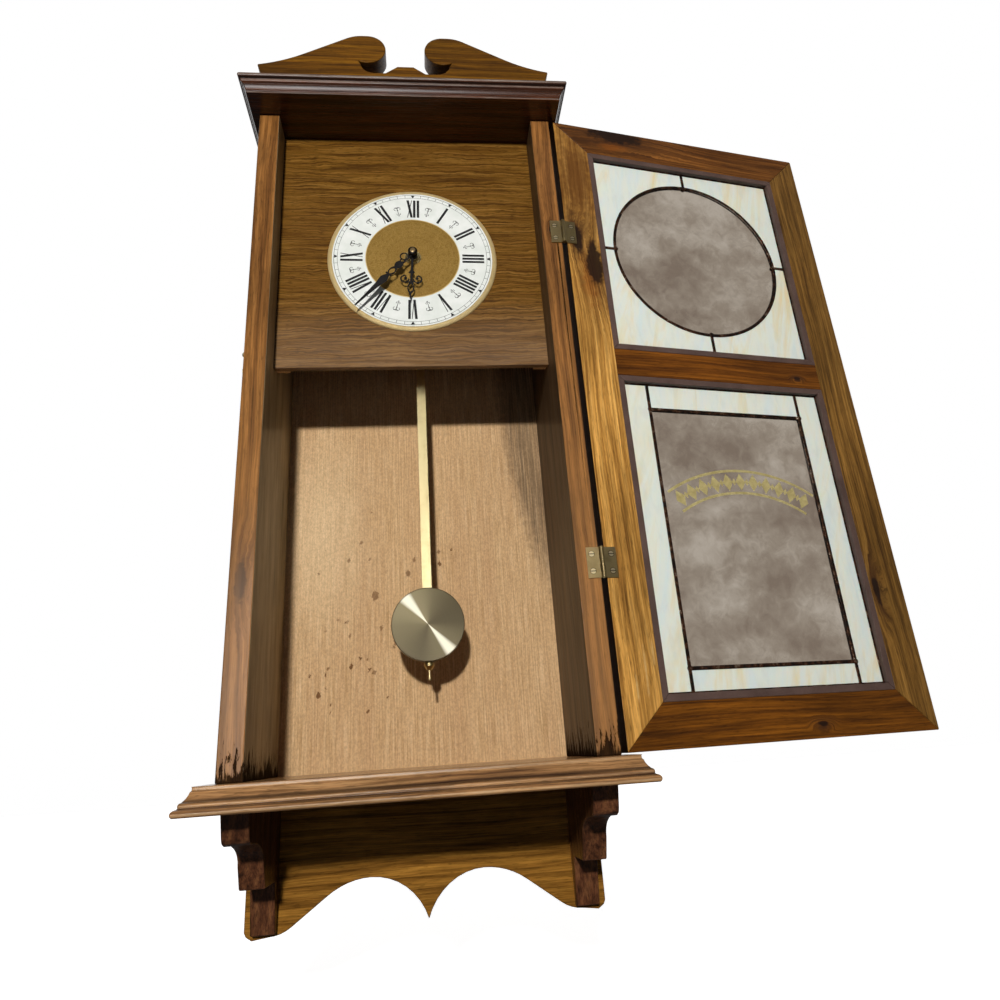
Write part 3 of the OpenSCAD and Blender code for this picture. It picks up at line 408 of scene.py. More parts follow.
def merged_copy(node, name):
    piece = copy_of(nodes[node], name)
    alone(piece)
    bpy.ops.object.mode_set(mode="EDIT")
    bpy.ops.mesh.select_all(action="SELECT")
    bpy.ops.mesh.remove_doubles(threshold=0.000002)
    bpy.ops.mesh.dissolve_limited(angle_limit=math.radians(0.5))
    bpy.ops.mesh.normals_make_consistent(inside=False)
    bpy.ops.object.mode_set(mode="OBJECT")
    return piece


def dress(piece, material):
    piece.data.materials.clear()
    piece.data.materials.append(material)


def finish_parts(material, *names):
    for name in names:
        dress(nodes[name], material)


print("solids can be copied")

# %% Ease the edges of a copy
def body_of(node):
    return next(name for name, members in frame["record"]["behaviour"]["bodies"].items()
                if node in members)


def smooth(piece, degrees=40):
    alone(piece)
    bpy.ops.object.shade_smooth_by_angle(angle=math.radians(degrees))


def eased(node, width, material, steps=2, sharper_than=38):
    piece = merged_copy(node, node + "_eased")
    cut = piece.modifiers.new("eased edge", "BEVEL")
    cut.width = width / 1000
    cut.segments = steps
    cut.limit_method = "ANGLE"
    cut.angle_limit = math.radians(sharper_than)
    cut.use_clamp_overlap = False
    bpy.ops.object.modifier_apply(modifier=cut.name)
    dress(piece, material)
    smooth(piece)
    level = piece.modifiers.new("flat faces stay flat", "WEIGHTED_NORMAL")
    level.keep_sharp = True
    bpy.ops.object.modifier_apply(modifier=level.name)
    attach(piece, body_of(node))
    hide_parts(node)
    return piece


print("boards can be eased")

# %% [markdown]
# ## The case's own boards
#
# The side boards are varnished only on their outside and front edge. Inside they are dull and
# grey-brown, with black water stains at the foot. The left board's inside is painted lighter than
# the right's, as painted light and shade, and a painted sheen pales the front edges towards the foot.
# A burl breaks the left board's front edge.
# One finish holds both looks and picks between them by which way the surface faces.

# %% Finish and ease the side boards
CASE_FOOT = on_case(0, 0, 0)
FOOT_BLACK = (0.010, 0.006, 0.004)
SIDE_MIDDLE = 134
SIDE_COAT, SIDE_SHINE = 0.2, 0.22


def side_finish(name, side, knots, pale, deep, dark, inside):
    middle = on_case(side * SIDE_MIDDLE, 60, 0)
    wood = pine(name, UPRIGHT, middle, pale, deep, dark, 0.34, knots, coat=SIDE_COAT)
    inward = wood.math("GREATER_THAN", wood.times(wood.axis(wood.outward(), 0), -side), 0.6)
    dull = wood.noise(wood.place(CASE_FOOT, size=(0.006, 0.014, 0.09)), 4, 0.65)
    low, high = tuple(v * 0.55 for v in inside), tuple(v * 1.3 for v in inside)
    wood.paint_over(inward, wood.ramp(dull, (0.32, low), (0.68, high)))
    wood.roughness(wood.plus(wood.so_far("Roughness"), wood.times(inward, 0.3)))
    # The water stain has a toothed top, and no varnish is left on it
    height = wood.axis(wood.place(CASE_FOOT), 2)
    teeth = wood.noise(wood.place(size=(0.0030, 0.0030, 0.02)), 4, 0.7)
    reach = wood.minus(height, wood.between(teeth, 0.38, 0.72, 0.0, 0.026))
    foot = wood.between(reach, 0.0, 0.006, 1.0, 0.0)
    wood.paint_over(wood.times(foot, 0.9), FOOT_BLACK)
    unstained = wood.minus(1.0, foot)
    wood.tune(wood.shader, Coat_Weight=wood.times(unstained, SIDE_COAT),
              Specular_IOR_Level=wood.times(unstained, SIDE_SHINE))
    # A painted sheen makes the varnish on the front edge paler towards the foot
    front = wood.math("LESS_THAN", wood.axis(wood.outward(), 1), -0.6)
    rubbing_and_sheen = wood.times(wood.between(height, 0.46, 0.02, 0.0, 0.34),
                        wood.between(dull, 0.3, 0.65, 0.6, 1.1))
    wood.paint_over(wood.times(front, wood.times(rubbing_and_sheen, unstained)), srgb(176, 130, 82))
    return wood.material


left_knots = [(on_case(-135, 0, 141), 0.0052, 0.020)]
right_knots = [(on_case(134, 0, 470), 0.002, 0.006)]
# The left board's inside is painted lighter than the right's: painted light and shade on one raw wood
eased("side_board_left", 1.0, side_finish(
    "pine left", -1, left_knots, srgb(156, 108, 58), srgb(124, 82, 40), srgb(82, 50, 24),
    srgb(158, 142, 112)))
eased("side_board_right", 1.0, side_finish(
    "pine right", 1, right_knots, srgb(158, 108, 58), srgb(126, 84, 44), srgb(82, 50, 26),
    srgb(82, 63, 43)))
print("side boards done")

# %% [markdown]
# ## Crown, base and pediment
#
# The crown and base are deep shelves with a moulded edge, stained darker and redder than the case;
# the base's colour is painted paler and greyer with a painted sheen. Their grain runs sideways.
# Shade is painted into the hollows of the moulding, and highlights are painted along its beads.
# The swan-neck pediment on top is golden, with fine flat grain.

# %% Finish the crown, the base and the pediment
PAINTED_HOLLOW_SHADE = (0.016, 0.007, 0.004)


def paint_light_and_shade_on_moulding(wood, at, way, hollows, beads, rubbing_and_sheen):
    """Paints shade into the hollows and highlights onto the beads, each a middle, a half height and an
    amount, in mm
    """
    height = wood.times(wood.axis(wood.place(at), 2), way * 1000.0)
    upright = wood.between(wood.math("ABSOLUTE", wood.axis(wood.outward(), 2)), 0.98, 0.9)
    ahead = wood.between(wood.math("ABSOLUTE", wood.axis(wood.outward(), 0)), 0.4, 0.2, 0.15, 1.0)
    highlight_breakup = wood.noise(wood.place(turn=LEVEL, size=(0.0011, 0.0011, 0.022)), 4, 0.75)

    def stripe(middle, half, core, amount):
        return wood.times(wood.between(wood.away(height, middle), half, half * core, 0.0, amount), upright)

    for middle, half, amount in hollows:
        wood.paint_over(stripe(middle, half, 0.2, amount), PAINTED_HOLLOW_SHADE)
    for middle, half, amount in beads:
        bright = wood.times(stripe(middle, half, 0.1, amount), ahead)
        wood.paint_over(wood.times(bright, wood.between(highlight_breakup, 0.35, 0.68, 0.25, 1.0)), rubbing_and_sheen)


crown = pine("crown stain", LEVEL, on_case(0, 40, 617), srgb(100, 56, 30), srgb(70, 37, 20),
             srgb(38, 18, 11), 0.24, coat=0.5)
# The base's colours are painted paler and greyer than its stain, a painted sheen
base = pine("base stain with painted sheen", LEVEL, on_case(0, 40, -9), srgb(196, 152, 104), srgb(160, 117, 74),
            srgb(96, 64, 40), 0.26, coat=0.5)
swan = pine("pediment stain", LEVEL, on_case(0, -10, 650), srgb(122, 82, 18), srgb(97, 61, 12),
            srgb(61, 37, 7), 0.4)
# Painted shade in the hollows and painted highlights on the beads of both mouldings
paint_light_and_shade_on_moulding(crown, on_case(0, 0, 608), 1, [(6.6, 3.4, 0.6), (13.1, 1.3, 0.9), (17.8, 1.0, 0.7)],
                 [(1.0, 1.1, 0.55), (11.2, 1.3, 0.6), (15.6, 1.5, 0.85)], srgb(164, 154, 144))
paint_light_and_shade_on_moulding(base, CASE_FOOT, -1, [(8.8, 1.8, 0.75), (13.0, 1.2, 0.85), (17.8, 0.9, 0.5)],
                 [(1.5, 1.7, 0.35), (11.2, 1.2, 0.3), (16.2, 1.3, 0.55)], srgb(222, 190, 148))
eased("crown_board", 0.8, crown.material, 2, 50)
eased("base_board", 0.8, base.material, 2, 50)
eased("pediment", 1.0, swan.material, 2, 50)
print("crown, base and pediment done")

# %% Finish the lower back board and its brackets
apron = pine("apron stain", LEVEL, on_case(0, 120, -70), srgb(162, 116, 48), srgb(134, 92, 36),
             srgb(88, 58, 20), 0.5, coat=0.0)
apron.tune(apron.shader, Specular_IOR_Level=0.06)
bracket = pine("bracket stain", UPRIGHT, on_case(0, 60, -60), srgb(124, 82, 52), srgb(92, 56, 36),
               srgb(46, 26, 16), 0.3)
eased("lower_back_board", 1.0, apron.material, 2, 50)
eased("bracket_left", 1.0, bracket.material, 2, 50)
eased("bracket_right", 1.0, bracket.material, 2, 50)
print("lower boards done")

# %% [markdown]
# ## The door frame
#
# Stiles and rails are cut from different boards: the hinge stile is the lightest and most streaked,
# the rails are redder. A big knot crosses the top rail's left end, and another lies below the
# upper hinge. Old scratches mark the lower mitre, and the edge by the hinges is painted near-black as the
# shade in the gap.

# %% Finish the hinge stile
SCRATCH = srgb(206, 170, 110)
FLAME = srgb(168, 92, 22)
hinge_stile = pine(
    "hinge stile", DOOR_UPRIGHT, on_door(17, 8, 300), srgb(222, 170, 92), srgb(184, 134, 64),
    srgb(124, 82, 36), 0.36,
    knots=[(on_door(26, 0, 436), 0.0098, 0.029), (on_door(11, 0, 462), 0.0058, 0.018)],
    stains=[(on_door(18, 0, 540), 0.042, 0.110, srgb(84, 46, 16), 0.78, 0.2),
            (on_door(20, 0, 420), 0.014, 0.050, FLAME, 0.6, 0.3),
            (on_door(8, 0, 470), 0.012, 0.034, srgb(60, 32, 12), 0.7, 0.3),
            (on_door(23, 0, 58), 0.0016, 0.024, SCRATCH, 0.9, 0.25),
            (on_door(14, 0, 46), 0.0014, 0.018, SCRATCH, 0.85, 0.25),
            (on_door(31, 0, 72), 0.0013, 0.016, SCRATCH, 0.75, 0.25)])
# Painted shade: the face towards the hinge gap is near-black
toward_shaded_gap = hinge_stile.along_way(hinge_stile.outward(),
                                   (-math.cos(DOOR_TURN), -math.sin(DOOR_TURN), 0))
hinge_stile.paint_over(hinge_stile.math("GREATER_THAN", toward_shaded_gap, 0.8), srgb(30, 18, 10))
print("hinge stile's finish has", len(hinge_stile.tree.nodes), "nodes")

# %% Finish the other members and ease them all
free_stile = pine(
    "free stile", DOOR_UPRIGHT, on_door(267, 8, 300), srgb(146, 108, 52), srgb(116, 82, 36),
    srgb(70, 46, 20), 0.38, knots=[(on_door(256, 0, 120), 0.004, 0.016)])
top_rail = pine(
    "top rail", DOOR_LEVEL, on_door(142, 8, 590), srgb(132, 84, 36), srgb(104, 62, 24),
    srgb(58, 32, 13), 0.34, knots=[(on_door(68, 0, 601), 0.0110, 0.038)],
    stains=[(on_door(62, 0, 586), 0.008, 0.024, FLAME, 0.5, 0.3)])
mid_rail = pine(
    "mid rail", DOOR_LEVEL, on_door(142, 8, 330), srgb(128, 76, 22), srgb(102, 58, 15),
    srgb(64, 34, 10), 0.34, knots=[(on_door(225, 0, 327), 0.0022, 0.004)])
bottom_rail = pine(
    "bottom rail", DOOR_LEVEL, on_door(142, 8, 18), srgb(128, 77, 20), srgb(102, 59, 14),
    srgb(62, 34, 10), 0.34, knots=[(on_door(172, 0, 12), 0.0028, 0.006)])
for node, wood, slot in (("door_stile_hinge", hinge_stile, "pine"),
                         ("door_stile_free", free_stile, "pine"),
                         ("door_top_rail", top_rail, "pine_rail"),
                         ("door_mid_rail", mid_rail, "pine_rail"),
                         ("door_bottom_rail", bottom_rail, "pine_rail")):
    eased(node, 0.7, wood.material)
print("door frame done")

# %% [markdown]
# ## Oak dial board
#
# The dial sits on a board faced with oak. Oak is told from pine by its pores: short dark dashes,
# all along the grain, which here runs level. They are a noise stretched sideways and cut off sharply.
# Longer dark and pale veins run with them, and a painted sheen makes the board paler towards its foot.

# %% Finish the dial board
BOARD_FOOT = on_case(0, 0, 341)
oak = Finish("oak", Coat_Weight=0.06, Coat_Roughness=0.35, Specular_IOR_Level=0.2)
flat = oak.place(on_case(0, 30, 470), LEVEL)
sway = oak.noise(oak.place(size=(0.016, 0.016, 0.035), of=flat), 3)
flat = oak.shifted(flat, oak.vector(oak.wander(sway, 0.010), 0.0, 0.0))
pores = oak.noise(oak.place(size=(0.0009, 0.0009, 0.009), of=flat), 3, 0.6)
flow = oak.noise(oak.place(size=(0.0042, 0.0042, 0.09), of=flat), 4, 0.65)
patch = oak.noise(oak.place(size=(0.05, 0.05, 0.12), of=flat), 2)
veins = oak.noise(oak.place(size=(0.0015, 0.0015, 0.11), of=flat), 2, 0.6)
oak.colour(oak.ramp(flow, (0.32, srgb(84, 54, 15)), (0.5, srgb(110, 76, 26)), (0.68, srgb(134, 98, 44))))
oak.paint_over(oak.between(veins, 0.52, 0.58, 0.0, 0.8), srgb(58, 34, 8))
oak.paint_over(oak.between(veins, 0.44, 0.38, 0.0, 0.35), srgb(158, 116, 58))
oak.paint_over(oak.between(pores, 0.54, 0.62, 0.0, 0.6), srgb(48, 28, 8))
oak.paint_over(oak.between(patch, 0.35, 0.75, 0.0, 0.3), srgb(82, 52, 18))
# A painted sheen pales the board towards its foot
painted_sheen = oak.between(oak.axis(oak.place(BOARD_FOOT), 2), 0.085, 0.004, 0.0, 0.30)
oak.paint_over(oak.times(painted_sheen, oak.between(flow, 0.35, 0.6, 0.6, 1.1)), srgb(156, 132, 110))
oak.roughness(oak.between(pores, 0.4, 0.7, 0.42, 0.62))
oak.bump(pores, 0.0003, -0.6)
eased("dial_board", 0.6, oak.material)
print("dial board done")

# %% [markdown]
# ## Thin plywood back
#
# The back is bare plywood, tan and a little pink, with fine upright grain. Rust-brown specks are
# spattered over its lower left, and a soft grey shadow is painted down its right side. Both are on the face
# inside the case only. A painted pool of light brightens its lower left.
# A cell texture gives the specks, and ovals say where on the back they fall.

# %% Finish the plywood
BACK_FACE = 126
ply = Finish("bare plywood", Specular_IOR_Level=0.06)
back = ply.place(on_case(0, BACK_FACE, 0))
lines = ply.noise(ply.place(size=(0.0012, 0.0012, 0.05), of=back), 4, 0.6)
wide = ply.noise(ply.place(size=(0.02, 0.02, 0.30), of=back), 3)
ply.colour(ply.ramp(lines, (0.32, srgb(176, 142, 100)), (0.52, srgb(202, 168, 126)),
                    (0.72, srgb(222, 192, 152))))
ply.paint_over(ply.between(wide, 0.35, 0.75, 0.0, 0.4), srgb(184, 146, 108))
# A painted pool of light brightens the back's lower left
painted_light_pool = ply.between(ragged_oval(ply, on_case(-95, BACK_FACE, 215), UPRIGHT, 0.07, 0.15, 0.12), 1.0, 0.0)
ply.paint_over(ply.times(painted_light_pool, 0.5), srgb(230, 204, 164))
ply.roughness(0.62)
ply.bump(lines, 0.0002, 0.5)
print("plywood described")

# %% Speckle the back, paint a shadow down it, and finish it
inner_face = ply.math("LESS_THAN", ply.axis(ply.outward(), 1), -0.5)
wobble = ply.wander(ply.noise(ply.place(size=0.0022), 2), 0.0045)
ragged = ply.place(size=(1, 1, 1.5), of=ply.shifted(back, ply.vector(wobble, 0.0, wobble)))
for x, z, half_width, half_length, amount, per_metre in (
        (-70, 74, 0.058, 0.080, 1.0, 130), (20, 186, 0.028, 0.028, 1.0, 150),
        (-20, 150, 0.115, 0.130, 0.75, 95)):
    far = oval(ply, on_case(x, BACK_FACE, z), UPRIGHT, half_width, half_length)
    zone = ply.between(far, 1.0, 0.2, 0.0, 0.33)
    cells = ply.tune(ply.node("TexVoronoi", (ragged,)), Scale=per_metre).outputs
    speck = ply.minus(ply.times(zone, ply.axis(cells["Color"], 0)), cells["Distance"])
    speck = ply.between(speck, -0.02, 0.05, 0.0, 0.8 * amount)
    ply.paint_over(ply.times(speck, inner_face), srgb(88, 50, 22))
# A painted soft shadow runs down the right side of the inner face, streaked a little
far = ragged_oval(ply, on_case(118, BACK_FACE, 300), (0, math.radians(-6), 0), 0.034, 0.19, 0.10)
painted_shadow_band = ply.times(ply.between(far, 1.0, 0.55), inner_face)
shadow_streaks = ply.noise(ply.place(size=(0.0016, 0.0016, 0.05)), 4, 0.65)
ply.paint_over(ply.times(painted_shadow_band, ply.between(shadow_streaks, 0.32, 0.66, 0.42, 0.8)), srgb(94, 78, 62))
fleck = ply.noise(ply.place(size=(0.0013, 0.0013, 0.0022)), 3, 0.7)
ply.shade(ply.between(fleck, 0.32, 0.68, 0.84, 1.12))
finish_parts(ply.material, "back_panel", "dial_cleats")
print("back done")

# %% [markdown]
# ## Brass, steel and lead
#
# The small metal parts are brass with a soft wipe of fine scratches, and darker patches where the
# lacquer has gone. Shade is painted round each screw head of the hinges and in its slot. The bob is turned
# on a lathe, so its scratches are circles, and a lamp shows in them as a bright spoke on each side of
# the middle. Anisotropy on the shader stretches such a reflection, and its colour is drawn as
# spokes too, so that they show wherever the lamp stands. A lit side is painted on its upper left as well.

# %% Describe the metals
def brass(name, colour, tarnish, rough, grain=0.002, amount=0.6, metallic=1.0):
    metal = Finish(name, Metallic=metallic)
    cloud = metal.noise(metal.place(size=0.009), 3, 0.55)
    wipe = metal.noise(metal.place(size=grain), 3, 0.6)
    metal.colour(metal.mix(metal.between(cloud, 0.42, 0.75, 0.0, amount), colour, tarnish))
    metal.roughness(metal.between(wipe, 0.3, 0.7, rough - 0.06, rough + 0.14))
    metal.bump(wipe, 0.00003, 0.4)
    return metal


hardware = brass("hinge brass", srgb(196, 176, 124), srgb(150, 128, 82), 0.34, amount=0.35)
leaf_brass = brass("leaf brass", srgb(178, 156, 110), srgb(132, 110, 68), 0.38, amount=0.4)
screw_brass = brass("screw brass", srgb(232, 214, 170), srgb(190, 166, 116), 0.36, amount=0.3)
rod_brass = brass("rod brass", srgb(250, 230, 174), srgb(220, 194, 130), 0.42, (0.0003, 0.01, 0.03), 0.3)
rim_brass = brass("pan brass", srgb(216, 192, 138), srgb(188, 160, 106), 0.5, amount=0.4, metallic=0.4)
steel = brass("bright steel", srgb(190, 190, 186), srgb(120, 116, 108), 0.3)
print("metals described")

# %% Paint shade round the hinges' screws and in their slots
HINGE_HEIGHTS, SCREWS_APART = (144, 468), 14
ON_CASE_LEAF, ON_DOOR_LEAF = (137.8, -1.9), (5.4, -0.9)
SCREWS = [screw for hinge in HINGE_HEIGHTS for high in (hinge - SCREWS_APART / 2, hinge + SCREWS_APART / 2)
          for screw in (on_case(*ON_CASE_LEAF, high), on_door(*ON_DOOR_LEAF, high))]


def round_the_head(metal, screw):
    return metal.between(metal.length(metal.place(screw)), 0.0030, 0.0023)


def in_the_slot(metal, screw):
    rise = metal.math("ABSOLUTE", metal.axis(metal.place(screw), 2))
    return metal.between(rise, 0.0005, 0.0003)


# Painted shade: a dark ring round each screw head on the leaves, and a dark line in each slot
for metal, mark in ((leaf_brass, round_the_head), (screw_brass, in_the_slot)):
    painted_screw_shade = 0.0
    for screw in SCREWS:
        painted_screw_shade = metal.larger(painted_screw_shade, mark(metal, screw))
    metal.paint_over(metal.times(painted_screw_shade, 0.8), srgb(52, 40, 22))
print(len(SCREWS), "screws in the hinges")

# %% Turn the bob's brass
BOB = on_case(6, 72, 114)
LIT_SPOKE, LIT_SIDE = math.radians(51), math.radians(-146)


def round_about(finish, middle):
    """How far a point lies from a middle, and in which direction, seen from the front"""
    hub = finish.place(middle)
    across, up = finish.axis(hub, 0), finish.axis(hub, 2)
    return finish.length(finish.vector(across, 0.0, up)), finish.math("ARCTAN2", up, across)


bob = Finish("turned brass", Metallic=0.4, Anisotropic=0.7)
radius, bearing = round_about(bob, BOB)
groove = bob.noise(bob.vector(bob.times(radius, 2600.0), 0.0, 0.0), 3, 0.7)
# Painted reflection: two bright spokes with a glint along them, and a painted lit upper left. The rim is
# drawn darker.
spoke = bob.math("ABSOLUTE", bob.math("COSINE", bob.plus(bearing, LIT_SPOKE)))
fan = bob.between(spoke, 0.55, 1.0, 0.0, 0.14)
lit_side = bob.between(bob.math("COSINE", bob.plus(bearing, LIT_SIDE)), -0.6, 1.0, 0.0, 0.20)
lit = bob.times(bob.between(spoke, 0.975, 1.0, 0.0, 0.8), bob.between(groove, 0.2, 0.6, 0.75, 1.0))
bob.colour(bob.ramp(groove, (0.3, srgb(72, 63, 41)), (0.7, srgb(94, 83, 57))))
bob.paint_over(bob.plus(fan, lit_side), srgb(184, 170, 128))
bob.paint_over(lit, srgb(255, 250, 226))
bob.paint_over(bob.between(radius, 0.0300, 0.0312, 0.0, 0.6), srgb(74, 62, 40))
bob.roughness(bob.between(groove, 0.3, 0.7, 0.34, 0.46))
tangent = bob.node("Tangent", direction_type="RADIAL", axis="Y")
bob.tune(bob.shader, Tangent=tangent.outputs[0])
bob.bump(groove, 0.00002, 0.35)
print("bob's finish done")

# %% Finish the metal parts
finish_parts(hardware.material, "hinge_pins", "catch_hook", "catch_screw", "catch_peg",
             "fixing_washer", "fixing_nut", "rating_nut", "minute_arbor")
finish_parts(leaf_brass.material, "hinge_case_leaves", "hinge_door_leaves")
finish_parts(screw_brass.material, "hinge_case_screws", "hinge_door_screws")
finish_parts(steel.material, "case_screws", "suspension_lever", "battery_contacts")
finish_parts(rim_brass.material, "dial_pan")
finish_parts(rod_brass.material, "pendulum_rod")
finish_parts(bob.material, "pendulum_bob")
print("metal parts done")

# %% [markdown]
# ## Dial
#
# A white chapter ring carries printed Roman numerals, and a brass disc fills its middle, lightly
# etched with plain rings and leaves. Two waves that wind opposite ways cross in the leaves.

# %% Finish the dial's plates
card = Finish("dial white", Roughness=0.42, Specular_IOR_Level=0.4)
speckle = card.noise(card.place(size=0.01), 3)
card.colour(card.ramp(speckle, (0.3, srgb(224, 230, 226)), (0.7, srgb(236, 240, 238))))
card.bump(speckle, 0.00004, 0.2)
finish_parts(card.material, "chapter_ring")

LEAVES, LEAF_WIND, LEAF_RADIUS = 12.0, 620.0, 0.034
disc = Finish("etched brass", Metallic=0.55, Roughness=0.42)
reach, bearing = round_about(disc, DIAL)
turn_on, wind_on = disc.times(bearing, LEAVES), disc.times(reach, LEAF_WIND)
crossed = disc.times(disc.math("SINE", disc.plus(turn_on, wind_on)),
                     disc.math("SINE", disc.minus(turn_on, wind_on)))
etched = disc.times(disc.between(crossed, 0.1, 0.8, 0.0, 0.16),
                    disc.between(disc.away(reach, LEAF_RADIUS), 0.010, 0.007))
for line in (0.0235, 0.0245, 0.0432):
    etched = disc.larger(etched, disc.between(disc.away(reach, line), 0.0003, 0.0001, 0.0, 0.3))
grit = disc.noise(disc.place(size=0.0012), 3, 0.7)
sheen = disc.noise(disc.place(size=0.02), 2)
disc.colour(disc.ramp(grit, (0.3, srgb(148, 114, 50)), (0.5, srgb(176, 140, 70)),
                      (0.75, srgb(198, 160, 90))))
disc.paint_over(disc.between(sheen, 0.4, 0.7, 0.0, 0.3), srgb(150, 114, 50))
disc.paint_over(etched, srgb(96, 70, 26))
disc.paint_over(disc.between(reach, 0.0446, 0.0449), srgb(238, 214, 150))
disc.bump(disc.minus(grit, etched), 0.00004, 0.4)
finish_parts(disc.material, "dial_centre")
print("dial plates done")

# %% [markdown]
# ## Printed numerals
#
# Each numeral is a few straight strokes: thick uprights, and a V or an X of one thick stroke
# and one hairline. A stroke starts as a plane and has its top edge slid sideways. The twelve
# numerals are then turned about the dial's centre, with their tops outward.

# %% Make, move and join small pieces
FACING_US = (math.radians(90), 0, 0)


def new_piece(add, **settings):
    """Adds a primitive while nothing else is selected"""
    bpy.ops.object.select_all(action="DESELECT")
    add(**settings)
    return bpy.context.object


def put(piece, at=(0, 0, 0), turn=(0, 0, 0)):
    """Turns and moves a piece, and keeps both in its mesh"""
    alone(piece)
    piece.rotation_euler = turn
    piece.location = at
    bpy.ops.object.transform_apply(location=True, rotation=True, scale=True)
    return piece


def flat_sheet(across, up, wide, high):
    """A small flat sheet that faces the viewer, upright about the dial's centre"""
    piece = new_piece(bpy.ops.mesh.primitive_plane_add, size=1)
    piece.scale = (wide, high, 1)
    return put(piece, (across, 0, up), FACING_US)


def joined(pieces, name):
    alone(*pieces)
    bpy.ops.object.join()
    piece = bpy.context.object
    piece.name = name
    return piece


print("small pieces can be made")

# %% Draw a numeral's strokes
NUMERAL_LOW, NUMERAL_HIGH = 0.0480, 0.0692
THICK, HAIR = 0.0024, 0.00068
LETTER_WIDE = 0.0040
V_FEET = (0.0018, 0.0022)
I_STEP, V_STEP, X_STEP = 0.0037, LETTER_WIDE + 0.0025, LETTER_WIDE + 0.0026


def stroke(foot, top, thick):
    middle = (NUMERAL_LOW + NUMERAL_HIGH) / 2
    piece = flat_sheet(foot, middle, thick, NUMERAL_HIGH - NUMERAL_LOW)
    for part in (*piece.data.edges, *piece.data.polygons):
        part.select = False
    for corner in piece.data.vertices:
        corner.select = corner.co.z > middle
    bpy.ops.object.mode_set(mode="EDIT")
    bpy.ops.mesh.select_mode(type="VERT")
    bpy.ops.transform.translate(value=(top - foot, 0, 0))
    bpy.ops.object.mode_set(mode="OBJECT")
    return piece


def strokes(numeral):
    """Where each stroke's foot and top stand, from the left, and how thick it is"""
    made, at = [], 0.0
    for letter in numeral:
        if letter == "I":
            made.append((at, at, THICK))
            at += I_STEP
        elif letter == "V":
            made += [(at + V_FEET[0], at, THICK), (at + V_FEET[1], at + LETTER_WIDE, HAIR)]
            at += V_STEP
        else:
            made += [(at + LETTER_WIDE, at, THICK), (at, at + LETTER_WIDE, HAIR)]
            at += X_STEP
    ends = [end for foot, top, _ in made for end in (foot, top)]
    middle = (min(ends) + max(ends)) / 2
    return [(foot - middle, top - middle, thick) for foot, top, thick in made]


print("VIII has", len(strokes("VIII")), "strokes")

# %% Print the numerals
INK_LIFT = 0.00004
DIAL_ROLL = 1.2
NUMERALS = ["XII", "I", "II", "III", "IIII", "V", "VI", "VII", "VIII", "IX", "X", "XI"]


def round_the_dial(piece, degrees, lift=INK_LIFT):
    """Turns a piece clockwise about the dial's centre and lays it on the ring"""
    return put(piece, DIAL - Vector((0, lift, 0)), (0, math.radians(degrees), 0))


ink = Finish("black ink", Roughness=0.5)
thin_ink = ink.noise(ink.place(size=0.002), 3)
ink.colour(ink.ramp(thin_ink, (0.3, (0.003, 0.003, 0.0035)), (0.8, (0.012, 0.0115, 0.012))))
ink.bump(thin_ink, 0.00001, 0.2)
printed = []
for hour, numeral in enumerate(NUMERALS):
    drawn = joined([stroke(*one) for one in strokes(numeral)], "numeral")
    printed.append(round_the_dial(drawn, 30 * hour + DIAL_ROLL))
numerals = joined(printed, "dial_numerals")
dress(numerals, ink.material)
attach(numerals, "case")
print("numerals:", len(numerals.data.polygons), "strokes")

# %% [markdown]
# ## Minute track and half-hour marks
#
# Round the numerals run two fine circles with a dash for each minute, and a small black arrowhead
# at each hour. Between the numerals stands a tiny grey flower on a stem, a common printer's mark.
# A circle becomes a fine ring when its edge is extruded and drawn outward a fraction.

# %% Draw the minute track
TRACK_LINES = ((0.0719, 0.0722), (0.0752, 0.0756))
DASH_RADIUS, DASH_WIDE, DASH_HIGH = 0.0737, 0.00036, 0.0033
HEAD_RADIUS, HEAD_SIZE, HEAD_LIFT = 0.0739, 0.0022, 0.00008


def fine_ring(inner, outer, points=180):
    piece = new_piece(bpy.ops.mesh.primitive_circle_add, vertices=points, radius=inner, fill_type="NOTHING")
    put(piece, turn=FACING_US)
    bpy.ops.object.mode_set(mode="EDIT")
    bpy.ops.mesh.select_all(action="SELECT")
    bpy.ops.mesh.extrude_edges_move()
    bpy.ops.transform.resize(value=(outer / inner,) * 3, center_override=(0, 0, 0))
    bpy.ops.object.mode_set(mode="OBJECT")
    return piece


def arrowhead():
    piece = new_piece(bpy.ops.mesh.primitive_circle_add, vertices=3, radius=HEAD_SIZE, fill_type="NGON")
    return put(piece, (0, 0, HEAD_RADIUS), (math.radians(-90), 0, 0))


track = [round_the_dial(fine_ring(inner, outer), 0) for inner, outer in TRACK_LINES]
for minute in range(60):
    dash = flat_sheet(0, DASH_RADIUS, DASH_WIDE, DASH_HIGH)
    track.append(round_the_dial(dash, 6 * minute + DIAL_ROLL))
grey = Finish("grey ink", Roughness=0.5)
worn = grey.noise(grey.place(size=0.0015), 3)
grey.colour(grey.ramp(worn, (0.3, srgb(38, 40, 40)), (0.8, srgb(92, 95, 94))))
grey.bump(worn, 0.00001, 0.2)
minute_track = joined(track, "dial_minute_track")
dress(minute_track, grey.material)
heads = [round_the_dial(arrowhead(), 30 * hour + DIAL_ROLL, HEAD_LIFT) for hour in range(12)]
hour_heads = joined(heads, "dial_hour_heads")
dress(hour_heads, ink.material)
for piece in (minute_track, hour_heads):
    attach(piece, "case")
print("minute track:", len(minute_track.data.polygons), "faces")

# %% Draw the half-hour flowers
STEM, CROSSBAR = (0, 0.0562, 0.00055, 0.0104), (0, 0.0617, 0.0046, 0.0006)
FOOT, BUD = (0, 0.0513, 0.0016, 0.0004), (0, 0.0585, 0.0012, 0.0012)


